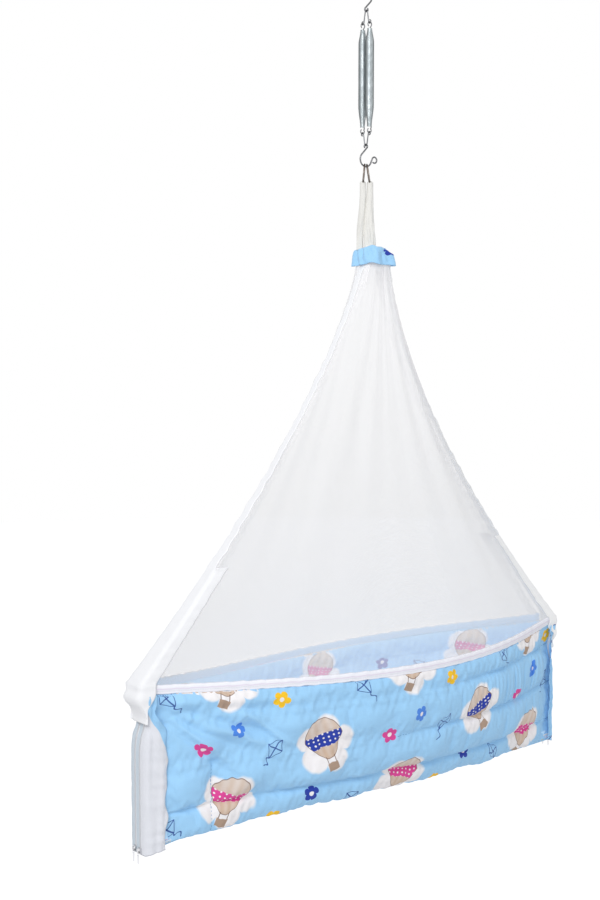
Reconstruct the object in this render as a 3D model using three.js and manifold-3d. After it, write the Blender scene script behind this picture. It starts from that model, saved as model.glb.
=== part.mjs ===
// Hanging baby cradle, in millimetres, +Z up.
// X runs along the bed and -Y is its front side. The origin is the seat of the
// top hook, where its bend rests on whatever holds the cradle up.
import * as THREE from "three";
import Module from "manifold-3d";
import { mergeVertices } from "three/addons/utils/BufferGeometryUtils.js";

const wasm = await Module();
wasm.setup();

// Clearances between neighbours
const gap = 0.3;
const clothGap = 0.5;
const flangeGap = 0.8;
const leastWireGap = 0.4;
const overrun = 2;

// Facets of the wires, the springs and the straps
const wireSteps = 36;
const wireSides = 6;
const eyeSteps = 12;
const bendSteps = 16;
const apexSteps = 8;
const springLoopSteps = 11;
const ringSteps = 20;
const strapSides = 16;
const strapRows = 9;

// Hooks: one bent wire each, with a big bend, a closed eye and a curled tip
const hookWire = 2.6;
const hookBendRadius = 12;
const hookEyeRadius = 3.35;
const hookTipRadius = 5;
const hookTipReach = 8;
const hookLeanAngle = THREE.MathUtils.degToRad(45);
const hookTipAngle = THREE.MathUtils.degToRad(-25);
const hookEyeSweepAngle = THREE.MathUtils.degToRad(262);
const hookTipSweepAngle = THREE.MathUtils.degToRad(280);

// Yokes: a wire V with an eye on each leg
const yokeWire = 2;
const yokeApexRadius = 2.9;
const yokeEyeRadius = 2.6;
const yokeLeg = 18.7;
const yokeSpreadAngle = THREE.MathUtils.degToRad(11);
const yokeEyeSweepAngle = THREE.MathUtils.degToRad(255);

// Springs
const springWire = 1.8;
const springRadius = 6.2;
const springNeckRadius = 3.2;
const springLength = 162;
const springLoopRadius = 3.9;
const springNeckGap = 2.4;
const springTopCone = 24;
const springBottomCone = 36;
const springLoopStartAngle = THREE.MathUtils.degToRad(-38);
const springLoopEndAngle = THREE.MathUtils.degToRad(226);
const springCurls = 28;
const stepsPerCurl = 8;
const springSides = 5;

// Rings
const ringWire = 3;
const ringRadius = 15.5;
const ringApart = 3.6;
const ringTurnAngle = THREE.MathUtils.degToRad(-39.7);
const ringSplayAngles = { left: THREE.MathUtils.degToRad(5), right: THREE.MathUtils.degToRad(9) };

// Straps, given across and along the turned rings
const strapWall = 3.3;
const strapTopDepth = 7;
const strapFoot = {
  left: { across: -9.6, along: 3, halfAcross: 4.4, halfAlong: 7 },
  right: { across: 6.4, along: 0.5, halfAcross: 9.4, halfAlong: 7 },
};
const strapFoldDepth = 0.9;
const strapFolds = 6;

// Collar
const collarDrop = 107;
const collarHeight = 31;
const collarHalf = 24;
const collarWall = 2;
const collarRadius = 7;
const collarShiftX = 13;
const collarShiftY = -6;
const collarFlare = 4;

// Bed
const bedHalfLength = 450;
const bedHalfWidth = 112;
const bedEndHalfWidth = 20;
const bedSkewShare = 0.4;
const bedPlanPower = 1.3;
const rimDrop = 658;
const rimSag = 16;
const bedDepth = 256;
const baseRise = 22;
const rightEndRise = 24;
const baseHalfWidth = 40;
const wallThick = 12;
const wallPuff = 4;
const puffEndShare = 0.955;
const seamShares = [0.16, 0.49, 0.81];
const bedSteps = 16;
const bindingHeight = 14;
const bindingProud = 1.2;
const bindingDepth = 8;
const padThick = 22;
const padCrown = 8;
const padEndShare = 0.93;
const padSideGap = 4;

// Nets
const netThick = 0.8;
const netFoldDepth = 5;
const netFoldReach = 150;
const netFolds = 5.5;
const netTopHeight = 6;
const netSpreadPower = 1.4;
const netDrawShare = 0.8; // from here down a net draws in from its facing to the rim
const netEdgeTopHalf = 4;
const netTopSquarePower = 5;
const netRimSquarePower = 2;
const netTopPlanPower = 0.6;
const netFoldFadeShare = 0.2;
const netColumnCount = 22;
const cornerOverhang = 8;
const cornerReach = bedHalfLength + cornerOverhang;
const cornerDrop = 68;

// White tapes on the edges and ends
const tape = 2;
const bandFlange = 6;
const facingFlange = 16;
const facingStartShare = 0.745;
const bandTopShare = 0.03;
const bandEndShare = 0.005;
const bandRuffle = 1.5;
const zipBandFlange = 16;
const zipBandFoot = 4;
const flareShares = [0, 0.33, 0.66, 1];

// Zips
const chainApart = 14;
const chainWidth = 5;
const chainThick = 1.6;
const stopHeight = 1.5;
const stopWidth = 7;
const sliderWidth = 8;
const sliderHeight = 9;
const sliderPlate = 1.6;
const sliderLip = 1.1;
const crownWidth = 2;
const crownLength = 8;
const crownHeight = 3.2;
const crownWall = 1;
const crownWindow = 5.2;
const pullLength = 20;
const pullWidth = 5.6;
const pullFootWidth = 4.2;
const pullThick = 1;
const pullBar = 1.2;
const pullWindow = 5.6;

// Finishes
const finish = (color, roughness, metalness) => ({ color, roughness, metalness });
const steel = finish(0x8f969c, 0.32, 0.9);
const springSteel = finish(0x7c8896, 0.35, 0.9);
const ringSteel = finish(0x7a6a5c, 0.4, 0.85);
const whiteCloth = finish(0xeceef2, 0.85, 0);
const sheerNet = finish(0xe2e2e6, 0.9, 0);
const printCloth = finish(0xa9c3e6, 0.85, 0);
const padCloth = finish(0xb9cdea, 0.9, 0);
const zipMetal = finish(0xb4b6b8, 0.35, 0.85);
const zipTape = finish(0xdfe3ea, 0.7, 0);

const cradle = new THREE.Group();

function addPiece(name, geometry, look) {
  const mesh = new THREE.Mesh(geometry, new THREE.MeshStandardMaterial(look));
  mesh.name = name;
  cradle.add(mesh);
  return mesh;
}

// Shape helpers

function arc(centreA, centreB, radius, from, to, steps) {
  const points = [];
  for (let i = 0; i <= steps; i++) {
    const angle = from + ((to - from) * i) / steps;
    points.push([centreA + radius * Math.cos(angle), centreB + radius * Math.sin(angle)]);
  }
  return points;
}

function roundSection(radius, sides) {
  const shape = new THREE.Shape();
  for (let i = 0; i < sides; i++) {
    const angle = (2 * Math.PI * i) / sides;
    const point = [radius * Math.cos(angle), radius * Math.sin(angle)];
    if (i === 0) shape.moveTo(...point);
    else shape.lineTo(...point);
  }
  return shape;
}

function bentWire(points, thickness, steps) {
  const path = new THREE.CatmullRomCurve3(points, false, "centripetal");
  path.arcLengthDivisions = steps * stepsPerCurl;
  return new THREE.ExtrudeGeometry(roundSection(thickness / 2, wireSides), {
    steps,
    bevelEnabled: false,
    extrudePath: path,
  });
}

function signedVolume(positions, index) {
  const a = new THREE.Vector3();
  const b = new THREE.Vector3();
  const c = new THREE.Vector3();
  let volume = 0;
  for (let i = 0; i < index.length; i += 3) {
    a.fromArray(positions, 3 * index[i]);
    b.fromArray(positions, 3 * index[i + 1]);
    c.fromArray(positions, 3 * index[i + 2]);
    volume += a.dot(b.cross(c)) / 6;
  }
  return volume;
}

function closedGeometry(points, index) {
  const positions = points.flatMap((point) => [point.x, point.y, point.z]);
  if (signedVolume(positions, index) < 0) index.reverse();
  const geometry = new THREE.BufferGeometry();
  geometry.setAttribute("position", new THREE.Float32BufferAttribute(positions, 3));
  geometry.setIndex(index);
  return geometry;
}

// Joins closed loops of equal count. In each loop, point k faces point n-1-k,
// so the end caps are strips between those pairs. The two faces of a thin sheet
// are split along the same diagonals, which keeps them from crossing.
function loft(loops) {
  const count = loops[0].length;
  const index = [];
  const quad = (a, b, c, d) => index.push(a, b, c, a, c, d);
  for (let ring = 0; ring + 1 < loops.length; ring++) {
    for (let k = 0; k < count; k++) {
      const next = (k + 1) % count;
      const low = ring * count;
      const high = low + count;
      if (k < count / 2) quad(low + k, low + next, high + next, high + k);
      else quad(low + next, high + next, high + k, low + k);
    }
  }
  const last = (loops.length - 1) * count;
  for (let k = 0; k + 1 < count / 2; k++) {
    quad(count - 1 - k, count - 2 - k, k + 1, k);
    quad(last + k, last + k + 1, last + count - 2 - k, last + count - 1 - k);
  }
  return closedGeometry(loops.flat(), index);
}

// One unbroken tube along a list of points, for the springs
function tube(points, radius, sides) {
  const vertices = [];
  const index = [];
  const normal = new THREE.Vector3(1, 0, 0);
  points.forEach((point, i) => {
    const before = points[Math.max(i - 1, 0)];
    const after = points[Math.min(i + 1, points.length - 1)];
    const tangent = new THREE.Vector3().subVectors(after, before).normalize();
    if (i === 0 && Math.abs(tangent.x) > 0.9) normal.set(0, 0, 1);
    normal.addScaledVector(tangent, -normal.dot(tangent)).normalize();
    const side = new THREE.Vector3().crossVectors(tangent, normal);
    for (let k = 0; k < sides; k++) {
      const angle = (2 * Math.PI * k) / sides;
      const vertex = point.clone();
      vertex.addScaledVector(normal, radius * Math.cos(angle));
      vertex.addScaledVector(side, radius * Math.sin(angle));
      vertices.push(vertex);
    }
    if (i === 0) return;
    for (let k = 0; k < sides; k++) {
      const next = (k + 1) % sides;
      const high = i * sides;
      const low = high - sides;
      index.push(low + k, low + next, high + next);
      index.push(low + k, high + next, high + k);
    }
  });
  const last = vertices.length - sides;
  for (let k = 1; k + 1 < sides; k++) {
    index.push(0, k + 1, k);
    index.push(last, last + k, last + k + 1);
  }
  return closedGeometry(vertices, index);
}

function toSolid(geometry) {
  const bare = new THREE.BufferGeometry();
  bare.setAttribute("position", geometry.getAttribute("position").clone());
  if (geometry.index) bare.setIndex(geometry.index.clone());
  const merged = mergeVertices(bare, 1e-4);
  return new wasm.Manifold(
    new wasm.Mesh({
      numProp: 3,
      vertProperties: new Float32Array(merged.getAttribute("position").array),
      triVerts: new Uint32Array(merged.index.array),
    }),
  );
}

function fromSolid(solid) {
  const mesh = solid.getMesh();
  const geometry = new THREE.BufferGeometry();
  geometry.setAttribute("position", new THREE.BufferAttribute(mesh.vertProperties, 3));
  geometry.setIndex(new THREE.BufferAttribute(mesh.triVerts, 1));
  return geometry;
}

function box(width, depth, height, x, y, z) {
  return new THREE.BoxGeometry(width, depth, height).translate(x, y, z);
}

const smooth = (share) => share * share * (3 - 2 * share);
const clamp01 = (share) => Math.min(1, Math.max(0, share));
const mix = THREE.MathUtils.lerp;

// Hooks

// Points of one hook in its plane: the seat, inside its big bend, is at zero,
// and the eye is above it.
function hookOutline() {
  const bendCentre = hookBendRadius - hookWire / 2;
  const lean = Math.PI - hookLeanAngle;
  const startA = hookBendRadius * Math.cos(lean);
  const startB = bendCentre + hookBendRadius * Math.sin(lean);
  const eyeB = startB - startA + hookEyeRadius / Math.sin(hookLeanAngle);
  const eyeFrom = -hookLeanAngle;
  const eye = arc(0, eyeB, hookEyeRadius, eyeFrom + hookEyeSweepAngle, eyeFrom, eyeSteps);
  const bend = arc(0, bendCentre, hookBendRadius, lean, 2 * Math.PI + hookTipAngle, bendSteps);
  const [lastA, lastB] = bend[bend.length - 1];
  const tipStartA = lastA - hookTipReach * Math.sin(hookTipAngle);
  const tipStartB = lastB + hookTipReach * Math.cos(hookTipAngle);
  const tipA = tipStartA + hookTipRadius * Math.cos(hookTipAngle);
  const tipB = tipStartB + hookTipRadius * Math.sin(hookTipAngle);
  const tipFrom = Math.PI + hookTipAngle;
  const tip = arc(tipA, tipB, hookTipRadius, tipFrom, tipFrom - hookTipSweepAngle, eyeSteps);
  return { points: [...eye, ...bend, ...tip], eyeB };
}

const hook = hookOutline();

function hookGeometry() {
  return bentWire(
    hook.points.map(([a, b]) => new THREE.Vector3(a, 0, b)),
    hookWire,
    wireSteps,
  );
}

const topHook = addPiece("top_s_hook", hookGeometry(), steel);
topHook.rotation.y = Math.PI;
const topEyeZ = -hook.eyeB;

// Yokes, in the plane across the bed

function yokeOutline() {
  const beta = yokeSpreadAngle;
  const apex = arc(0, -yokeApexRadius, yokeApexRadius, beta, Math.PI - beta, apexSteps);
  const footY = yokeApexRadius * Math.cos(beta) + yokeLeg * Math.sin(beta);
  const footZ = yokeApexRadius * (Math.sin(beta) - 1) - yokeLeg * Math.cos(beta);
  const eyeY = footY + yokeEyeRadius * Math.cos(beta);
  const eyeZ = footZ + yokeEyeRadius * Math.sin(beta);
  const from = Math.PI + beta;
  const eye = arc(eyeY, eyeZ, yokeEyeRadius, from + yokeEyeSweepAngle, from, eyeSteps);
  const mirrored = eye.map(([y, z]) => [-y, z]).reverse();
  return { points: [...eye, ...apex, ...mirrored], eyeY, eyeZ };
}

const yoke = yokeOutline();

function yokeGeometry() {
  return bentWire(
    yoke.points.map(([y, z]) => new THREE.Vector3(0, y, z)),
    yokeWire,
    wireSteps,
  );
}

const upperApexZ = topEyeZ - hookEyeRadius + hookWire / 2 + gap + yokeWire / 2;
const upperYoke = addPiece("upper_yoke", yokeGeometry(), steel);
upperYoke.position.z = upperApexZ;

// Springs

const springLoopSeat = yokeEyeRadius - yokeWire / 2 - gap - springWire / 2;
const springTopZ = upperApexZ + yoke.eyeZ - springLoopSeat;
const springBottomZ = springTopZ - springLength - 2 * (2 * springLoopRadius + springNeckGap);

function springRadiusAt(fall) {
  const top = clamp01(fall / springTopCone);
  const bottom = clamp01((springLength - fall) / springBottomCone);
  return mix(springNeckRadius, springRadius, smooth(Math.min(top, bottom)));
}

function springPoints() {
  const points = [];
  const upper = springTopZ - springLoopRadius;
  const lower = springBottomZ + springLoopRadius;
  const addLoop = (z, from, to) => {
    arc(0, z, springLoopRadius, from, to, springLoopSteps).forEach(([x, height]) => {
      points.push(new THREE.Vector3(x, 0, height));
    });
  };
  addLoop(upper, springLoopEndAngle, springLoopStartAngle);
  const coilTop = upper - springLoopRadius - springNeckGap;
  const steps = springCurls * stepsPerCurl;
  for (let i = 0; i <= steps; i++) {
    const angle = (2 * Math.PI * i) / stepsPerCurl;
    const fall = (springLength * i) / steps;
    const radius = springRadiusAt(fall);
    points.push(
      new THREE.Vector3(radius * Math.cos(angle), radius * Math.sin(angle), coilTop - fall),
    );
  }
  addLoop(lower, -springLoopStartAngle, -springLoopEndAngle);
  return points;
}

// Least gap of a wire to itself, past the points that follow each other round a bend
function leastGap(points, thickness) {
  let least = Infinity;
  for (let i = 0; i < points.length; i++) {
    for (let j = i + stepsPerCurl / 2; j < points.length; j++) {
      least = Math.min(least, points[i].distanceTo(points[j]) - thickness);
    }
  }
  return least;
}

const coil = springPoints();
const coilGap = leastGap(coil, springWire);
console.log("least gap of a spring to itself: " + coilGap.toFixed(2) + " mm");
if (coilGap < leastWireGap) console.log("the spring's curls are too close");

for (const [name, side] of [
  ["front_spring", -1],
  ["back_spring", 1],
]) {
  const spring = addPiece(name, tube(coil, springWire / 2, springSides), springSteel);
  spring.position.y = side * yoke.eyeY;
}

// Lower yoke and lower hook

const lowerApexZ = springBottomZ - springLoopSeat + yoke.eyeZ;
const lowerYoke = addPiece("lower_yoke", yokeGeometry(), steel);
lowerYoke.rotation.x = Math.PI;
lowerYoke.position.z = lowerApexZ;

const lowerEyeZ = lowerApexZ + yokeWire / 2 + gap + hookWire / 2 - hookEyeRadius;
const seatZ = lowerEyeZ - hook.eyeB;
const lowerHook = addPiece("lower_s_hook", hookGeometry(), steel);
lowerHook.position.z = seatZ;

// Rings, turned about Z and splayed about the tops that rest in the hook

const across = new THREE.Vector3(Math.cos(ringTurnAngle), Math.sin(ringTurnAngle), 0);
const along = new THREE.Vector3(-Math.sin(ringTurnAngle), Math.cos(ringTurnAngle), 0);
const up = new THREE.Vector3(0, 0, 1);

const ringShift = ringApart / 2 / Math.cos(ringTurnAngle);
const ringRise =
  hookBendRadius -
  hookWire / 2 -
  Math.sqrt((hookBendRadius - hookWire / 2) ** 2 - ringShift ** 2);
const ringTopZ = seatZ + ringWire / 2 + gap + ringRise;

function ringFrame(side) {
  const name = side < 0 ? "left" : "right";
  const top = new THREE.Vector3(side * ringShift, 0, ringTopZ);
  const down = up.clone().multiplyScalar(-Math.cos(ringSplayAngles[name]));
  down.addScaledVector(across, side * Math.sin(ringSplayAngles[name]));
  const centre = top.clone().addScaledVector(down, ringRadius);
  const foot = top.clone().addScaledVector(down, 2 * ringRadius);
  return { down, centre, foot };
}

function ringGeometry(side, thickness) {
  const { down, centre } = ringFrame(side);
  const basis = new THREE.Matrix4();
  const normal = new THREE.Vector3().crossVectors(along, down);
  basis.makeBasis(along, down, normal).setPosition(centre);
  const ring = new THREE.TorusGeometry(ringRadius, thickness / 2, wireSides, ringSteps);
  return ring.applyMatrix4(basis);
}

for (const [name, side] of [
  ["left_ring", -1],
  ["right_ring", 1],
]) {
  addPiece(name, ringGeometry(side, ringWire), ringSteel);
}

// Straps: gathered cloth that loops through each ring and runs into the collar

const collarTopZ = ringTopZ - 2 * ringRadius - collarDrop;
const collarFootZ = collarTopZ - collarHeight;
const strapFootZ = collarTopZ - collarWall - overrun;
const strapTopHalf = ringWire / 2 + gap + strapWall;

function strapSection(side, share, extra) {
  const name = side < 0 ? "left" : "right";
  const { foot } = ringFrame(side);
  const ease = smooth(share);
  const end = strapFoot[name];
  const topZ = foot.z + strapTopHalf;
  const topAcross = foot.dot(across);
  const topAlong = foot.dot(along);
  const midAcross = mix(topAcross, end.across, ease);
  const midAlong = mix(topAlong, end.along, ease);
  const halfAcross = mix(strapTopHalf, end.halfAcross, ease);
  const halfAlong = mix(strapTopDepth, end.halfAlong, ease);
  const z = mix(topZ, strapFootZ, share);
  const loop = [];
  for (let k = 0; k < strapSides; k++) {
    const angle = (2 * Math.PI * (k + 0.5)) / strapSides;
    const fold = strapFoldDepth * ease * Math.cos(strapFolds * angle + side * share);
    const point = new THREE.Vector3(0, 0, z);
    point.addScaledVector(across, midAcross + (halfAcross + fold + extra) * Math.cos(angle));
    point.addScaledVector(along, midAlong + (halfAlong + fold + extra) * Math.sin(angle));
    loop.push(point);
  }
  return loop;
}

function strapGeometry(side, extra) {
  const loops = [];
  for (let i = 0; i <= strapRows; i++) loops.push(strapSection(side, i / strapRows, extra));
  return loft(loops);
}

const strapHoles = [];
for (const [name, side] of [
  ["left_strap", -1],
  ["right_strap", 1],
]) {
  const eye = toSolid(ringGeometry(side, ringWire + 2 * gap));
  const strap = toSolid(strapGeometry(side, 0)).subtract(eye);
  addPiece(name, fromSolid(strap), whiteCloth);
  strapHoles.push(toSolid(strapGeometry(side, gap)));
}

// Collar: a printed band with a ridge at each corner, closed above round the straps

function roundedSquare(half, radius) {
  const shape = new THREE.Shape();
  const flat = half - radius;
  shape.moveTo(-flat, -half);
  shape.absarc(flat, -flat, radius, -Math.PI / 2, 0);
  shape.absarc(flat, flat, radius, 0, Math.PI / 2);
  shape.absarc(-flat, flat, radius, Math.PI / 2, Math.PI);
  shape.absarc(-flat, -flat, radius, Math.PI, 1.5 * Math.PI);
  return shape;
}

function squareLoop(half, radius, z) {
  const points = roundedSquare(half, radius).getPoints(2);
  points.pop();
  return points.map(
    (point) => new THREE.Vector3(point.x + collarShiftX, point.y + collarShiftY, z),
  );
}

function collarBlock(inset, topZ, footZ) {
  const topHalf = collarHalf - inset;
  const radius = collarRadius - inset;
  return toSolid(
    loft([
      squareLoop(topHalf, radius, topZ),
      squareLoop(topHalf + collarFlare, radius, footZ),
    ]),
  );
}

const collarCavity = collarBlock(collarWall, collarTopZ - collarWall, collarFootZ - overrun);
let collar = collarBlock(0, collarTopZ, collarFootZ).subtract(collarCavity);
strapHoles.forEach((hole) => {
  collar = collar.subtract(hole);
});
addPiece("collar", fromSolid(collar), printCloth);

// Bed: the outline in plan, the rim and the base

const rimEndZ = collarFootZ - rimDrop;

function halfWidthAt(u) {
  const bulge = Math.pow(Math.max(0, 1 - u * u), bedPlanPower) * (1 + bedSkewShare * u);
  return bedEndHalfWidth + (bedHalfWidth - bedEndHalfWidth) * bulge;
}

function baseHalfWidthAt(u) {
  return mix(baseHalfWidth, bedEndHalfWidth, u * u);
}

const rimZ = (u) => rimEndZ - rimSag * (1 - u * u);
const wallTopZ = (u) => rimZ(u) - bindingHeight / 2 - gap;
const baseZ = (u) => {
  return rimEndZ - bedDepth + baseRise * (1 - u ** 6) + rightEndRise * clamp01(u) ** 6;
};

// Between seams the wall swells; it is flat at the seams and near the ends.
function puffAt(u, share) {
  const marks = [0, ...seamShares, 1];
  const k = Math.min(marks.length - 2, marks.filter((mark) => mark <= share).length - 1);
  const within = (share - marks[k]) / (marks[k + 1] - marks[k]);
  const ends = clamp01(1 - (Math.abs(u) / puffEndShare) ** 6);
  return wallPuff * Math.sin(Math.PI * within) * ends;
}

function wallPoint(side, u, share, inset) {
  const fall = wallTopZ(u) - baseZ(u);
  const turn = Math.asin(share);
  const narrow = baseHalfWidthAt(u);
  const puff = inset ? 0 : puffAt(u, share);
  const wide = halfWidthAt(u) - inset - narrow;
  const y = narrow + wide * Math.cos(turn) + puff * Math.cos(turn);
  const z = wallTopZ(u) - (fall - inset) * share - puff * Math.sin(turn) * (1 - share);
  return new THREE.Vector3(u * bedHalfLength, side * y, z);
}

const wallShares = [0];
[...seamShares, 1].forEach((mark) => {
  const from = wallShares[wallShares.length - 1];
  wallShares.push((from + mark) / 2, mark);
});
const flangeStation = 1 - zipBandFlange / bedHalfLength;
const bedColumns = Array.from({ length: bedSteps + 1 }, (_, i) => (2 * i) / bedSteps - 1);
bedColumns.push(-flangeStation, flangeStation);
bedColumns.sort((a, b) => a - b);

for (const [name, side] of [
  ["front_wall", -1],
  ["back_wall", 1],
]) {
  const columns = bedColumns.map((u) => [
    ...wallShares.map((share) => wallPoint(side, u, share, 0)),
    ...[...wallShares].reverse().map((share) => wallPoint(side, u, share, wallThick)),
  ]);
  addPiece(name, loft(columns), printCloth);
}

// Rim bindings

for (const [name, side] of [
  ["front_rim_binding", -1],
  ["back_rim_binding", 1],
]) {
  const columns = bedColumns.map((u) => {
    const x = u * bedHalfLength;
    const outer = halfWidthAt(u) + bindingProud;
    const high = rimZ(u) + bindingHeight / 2;
    const low = rimZ(u) - bindingHeight / 2;
    return [
      new THREE.Vector3(x, side * outer, low),
      new THREE.Vector3(x, side * outer, high),
      new THREE.Vector3(x, side * (outer - bindingDepth), high),
      new THREE.Vector3(x, side * (outer - bindingDepth), low),
    ];
  });
  addPiece(name, loft(columns), whiteCloth);
}

// Base panel and mattress pad

function slabColumn(u, halfLow, halfHigh, lowZ, highZ, crown) {
  const x = u * bedHalfLength;
  const shares = [-1, -0.5, 0, 0.5, 1];
  return [
    ...shares.map((s) => new THREE.Vector3(x, s * halfLow, lowZ)),
    ...[...shares].reverse().map((s) => {
      return new THREE.Vector3(x, s * halfHigh, highZ + crown * (1 - s * s));
    }),
  ];
}

addPiece(
  "base_panel",
  loft(
    bedColumns.map((u) => {
      const half = baseHalfWidthAt(u) - clothGap;
      return slabColumn(u, half, half, baseZ(u), baseZ(u) + wallThick, 0);
    }),
  ),
  printCloth,
);

function innerHalfAt(u, z) {
  const share = (wallTopZ(u) - z) / (wallTopZ(u) - baseZ(u) - wallThick);
  const wide = halfWidthAt(u) - wallThick - baseHalfWidthAt(u);
  return baseHalfWidthAt(u) + wide * Math.sqrt(Math.max(0, 1 - share * share));
}

addPiece(
  "mattress_pad",
  loft(
    bedColumns.map((mark) => {
      const u = mark * padEndShare;
      const low = baseZ(u) + wallThick + clothGap;
      const high = low + padThick;
      const halfLow = baseHalfWidthAt(u) - padSideGap;
      const halfHigh = Math.min(halfLow + padThick, innerHalfAt(u, high) - padSideGap);
      const crown = padCrown * (1 - mark ** 8);
      return slabColumn(u, halfLow, halfHigh, low, high, crown);
    }),
  ),
  padCloth,
);

// Nets: from the top inside the collar down to the rim bindings

const netTopZ = collarFootZ + netTopHeight;
const collarInnerHalf = collarHalf - collarWall + collarFlare * (1 - netTopHeight / collarHeight);
const netTopHalf = collarInnerHalf - 2 * clothGap;

function edgeReach(share) {
  return mix(netTopHalf + tape, cornerReach, Math.pow(clamp01(share), netSpreadPower));
}

const edgeHalf = (share) => mix(netEdgeTopHalf, bedEndHalfWidth - netThick, share ** 3);

function netPoint(side, u, share) {
  const rimShare = clamp01(share);
  const drawn = smooth(clamp01((rimShare - netDrawShare) / (1 - netDrawShare)));
  const reach = edgeReach(rimShare) - tape - (cornerReach - tape - bedHalfLength) * drawn;
  const shift = (1 - rimShare) ** 3;
  const squarePower = mix(netTopSquarePower, netRimSquarePower, Math.sqrt(rimShare));
  const planPower = mix(netTopPlanPower, bedPlanPower, rimShare);
  const round = Math.pow(Math.max(0, 1 - Math.abs(u) ** squarePower), planPower);
  const lean = 1 + bedSkewShare * u * rimShare;
  const depth = mix(netTopHalf, bedHalfWidth - netThick, rimShare);
  const edge = edgeHalf(rimShare);
  const edgeFade = clamp01((1 - Math.abs(u)) / netFoldFadeShare);
  const fade = Math.sin(Math.PI * Math.sqrt(rimShare)) * edgeFade;
  const room = clamp01(reach / netFoldReach);
  const fold = netFoldDepth * fade * room * Math.cos(2 * Math.PI * netFolds * u);
  const y = edge + (depth - edge) * round * lean + fold;
  const z = mix(netTopZ, rimZ(u) + bindingHeight / 2 + gap, rimShare);
  return new THREE.Vector3(
    u * reach + shift * collarShiftX,
    side * y + shift * collarShiftY,
    z,
  );
}

function netNormal(side, u, share) {
  const step = 0.01;
  const du = u > 0 ? -step : step;
  const ds = share > 0.5 ? -step : step;
  const here = netPoint(side, u, share);
  const alongU = netPoint(side, u + du, share).sub(here).multiplyScalar(Math.sign(du));
  const alongS = netPoint(side, u, share + ds).sub(here).multiplyScalar(Math.sign(ds));
  return alongU.cross(alongS).normalize().multiplyScalar(-side);
}

const netColumns = Array.from({ length: netColumnCount + 1 }, (_, i) => {
  return (2 * i) / netColumnCount - 1;
});
const netRowShares = [0, 0.05, 0.12, 0.22, 0.35, 0.5, 0.66, 0.82, 1];

function netGeometry(side, extra) {
  const shifted = (u, share, inset) => {
    return netPoint(side, u, share).addScaledVector(netNormal(side, u, share), inset);
  };
  const columns = netColumns.map((u) => {
    const outer = netRowShares.map((share) => shifted(u, share, -extra));
    const inner = netRowShares.map((share) => shifted(u, share, netThick + extra));
    return [...outer, ...inner.reverse()];
  });
  return loft(columns);
}

addPiece("front_net", netGeometry(-1, 0), sheerNet);
addPiece("back_net", netGeometry(1, 0), sheerNet);
const netRoom = toSolid(netGeometry(-1, clothGap)).add(toSolid(netGeometry(1, clothGap)));

// Cuts the room of the nets out of a tape, and keeps the tape in one piece
function clearOfNets(geometry) {
  const parts = toSolid(geometry).subtract(netRoom).decompose();
  parts.sort((a, b) => b.volume() - a.volume());
  const lost = parts.slice(1).reduce((sum, part) => sum + part.volume(), 0);
  if (lost > 0.01 * parts[0].volume()) throw new Error("a net cuts a tape in two");
  return fromSolid(parts[0]);
}

// The place of u and share on the flat facets between the net's columns and rows
function facetPoint(side, u, share) {
  const place = (marks, value) => {
    return Math.min(marks.length - 2, marks.filter((mark) => mark <= value).length - 1);
  };
  const column = place(netColumns, u);
  const row = place(netRowShares, share);
  const overU = (u - netColumns[column]) / (netColumns[column + 1] - netColumns[column]);
  const overShare = (share - netRowShares[row]) / (netRowShares[row + 1] - netRowShares[row]);
  const low = netPoint(side, netColumns[column], netRowShares[row]);
  low.lerp(netPoint(side, netColumns[column + 1], netRowShares[row]), overU);
  const high = netPoint(side, netColumns[column], netRowShares[row + 1]);
  high.lerp(netPoint(side, netColumns[column + 1], netRowShares[row + 1]), overU);
  return low.lerp(high, overShare);
}

const cornerFootZ = rimZ(flangeStation) - bindingHeight / 2 - gap;

// Tapes in the shape of a channel: a web across the end and a flange on each
// side. The web and the tips of the flanges are given as X, half width and Z.
function channel(end, web, tip, shiftX, shiftY) {
  const corners = [
    [tip.x, -tip.half - tape, tip.z],
    [web.x + tape, -web.half - tape, web.z],
    [web.x + tape, web.half + tape, web.z],
    [tip.x, tip.half + tape, tip.z],
    [tip.x, tip.half, tip.z],
    [web.x, web.half, web.z],
    [web.x, -web.half, web.z],
    [tip.x, -tip.half, tip.z],
  ];
  return corners.map(([x, y, z]) => new THREE.Vector3(end * x + shiftX, y + shiftY, z));
}

function netChannel(end, share, flange, ruffle) {
  const edgePoint = facetPoint(1, end, share);
  const shift = (1 - share) ** 3;
  const shiftX = shift * collarShiftX;
  const shiftY = shift * collarShiftY;
  const netReach = Math.abs(edgePoint.x - shiftX);
  const x = Math.max(edgeReach(share), netReach) + clothGap + ruffle;
  const tipX = netReach - flange;
  const tipU = (end * tipX) / netReach;
  const tipPoint = facetPoint(1, Math.max(-1, Math.min(1, tipU)), share);
  const half = edgePoint.y - shiftY + clothGap;
  const tipHalf = Math.max(half, tipPoint.y - shiftY + clothGap);
  const web = { x, half, z: edgePoint.z };
  return channel(end, web, { x: tipX, half: tipHalf, z: tipPoint.z }, shiftX, shiftY);
}

// Shares from one end of a tape to the other, with each net row between them
// and a place half way between each two
function tapeShares(from, to) {
  const marks = [from, ...netRowShares.filter((mark) => mark > from && mark < to), to];
  return marks.flatMap((mark, i) => (i === 0 ? [mark] : [(marks[i - 1] + mark) / 2, mark]));
}

for (const [name, end] of [
  ["left_net_band", -1],
  ["right_net_band", 1],
]) {
  const shares = tapeShares(bandTopShare, facingStartShare - bandEndShare);
  const loops = shares.map((share, i) => {
    return netChannel(end, share, bandFlange, bandRuffle * (i % 2));
  });
  addPiece(name, clearOfNets(loft(loops)), whiteCloth);
}

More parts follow.
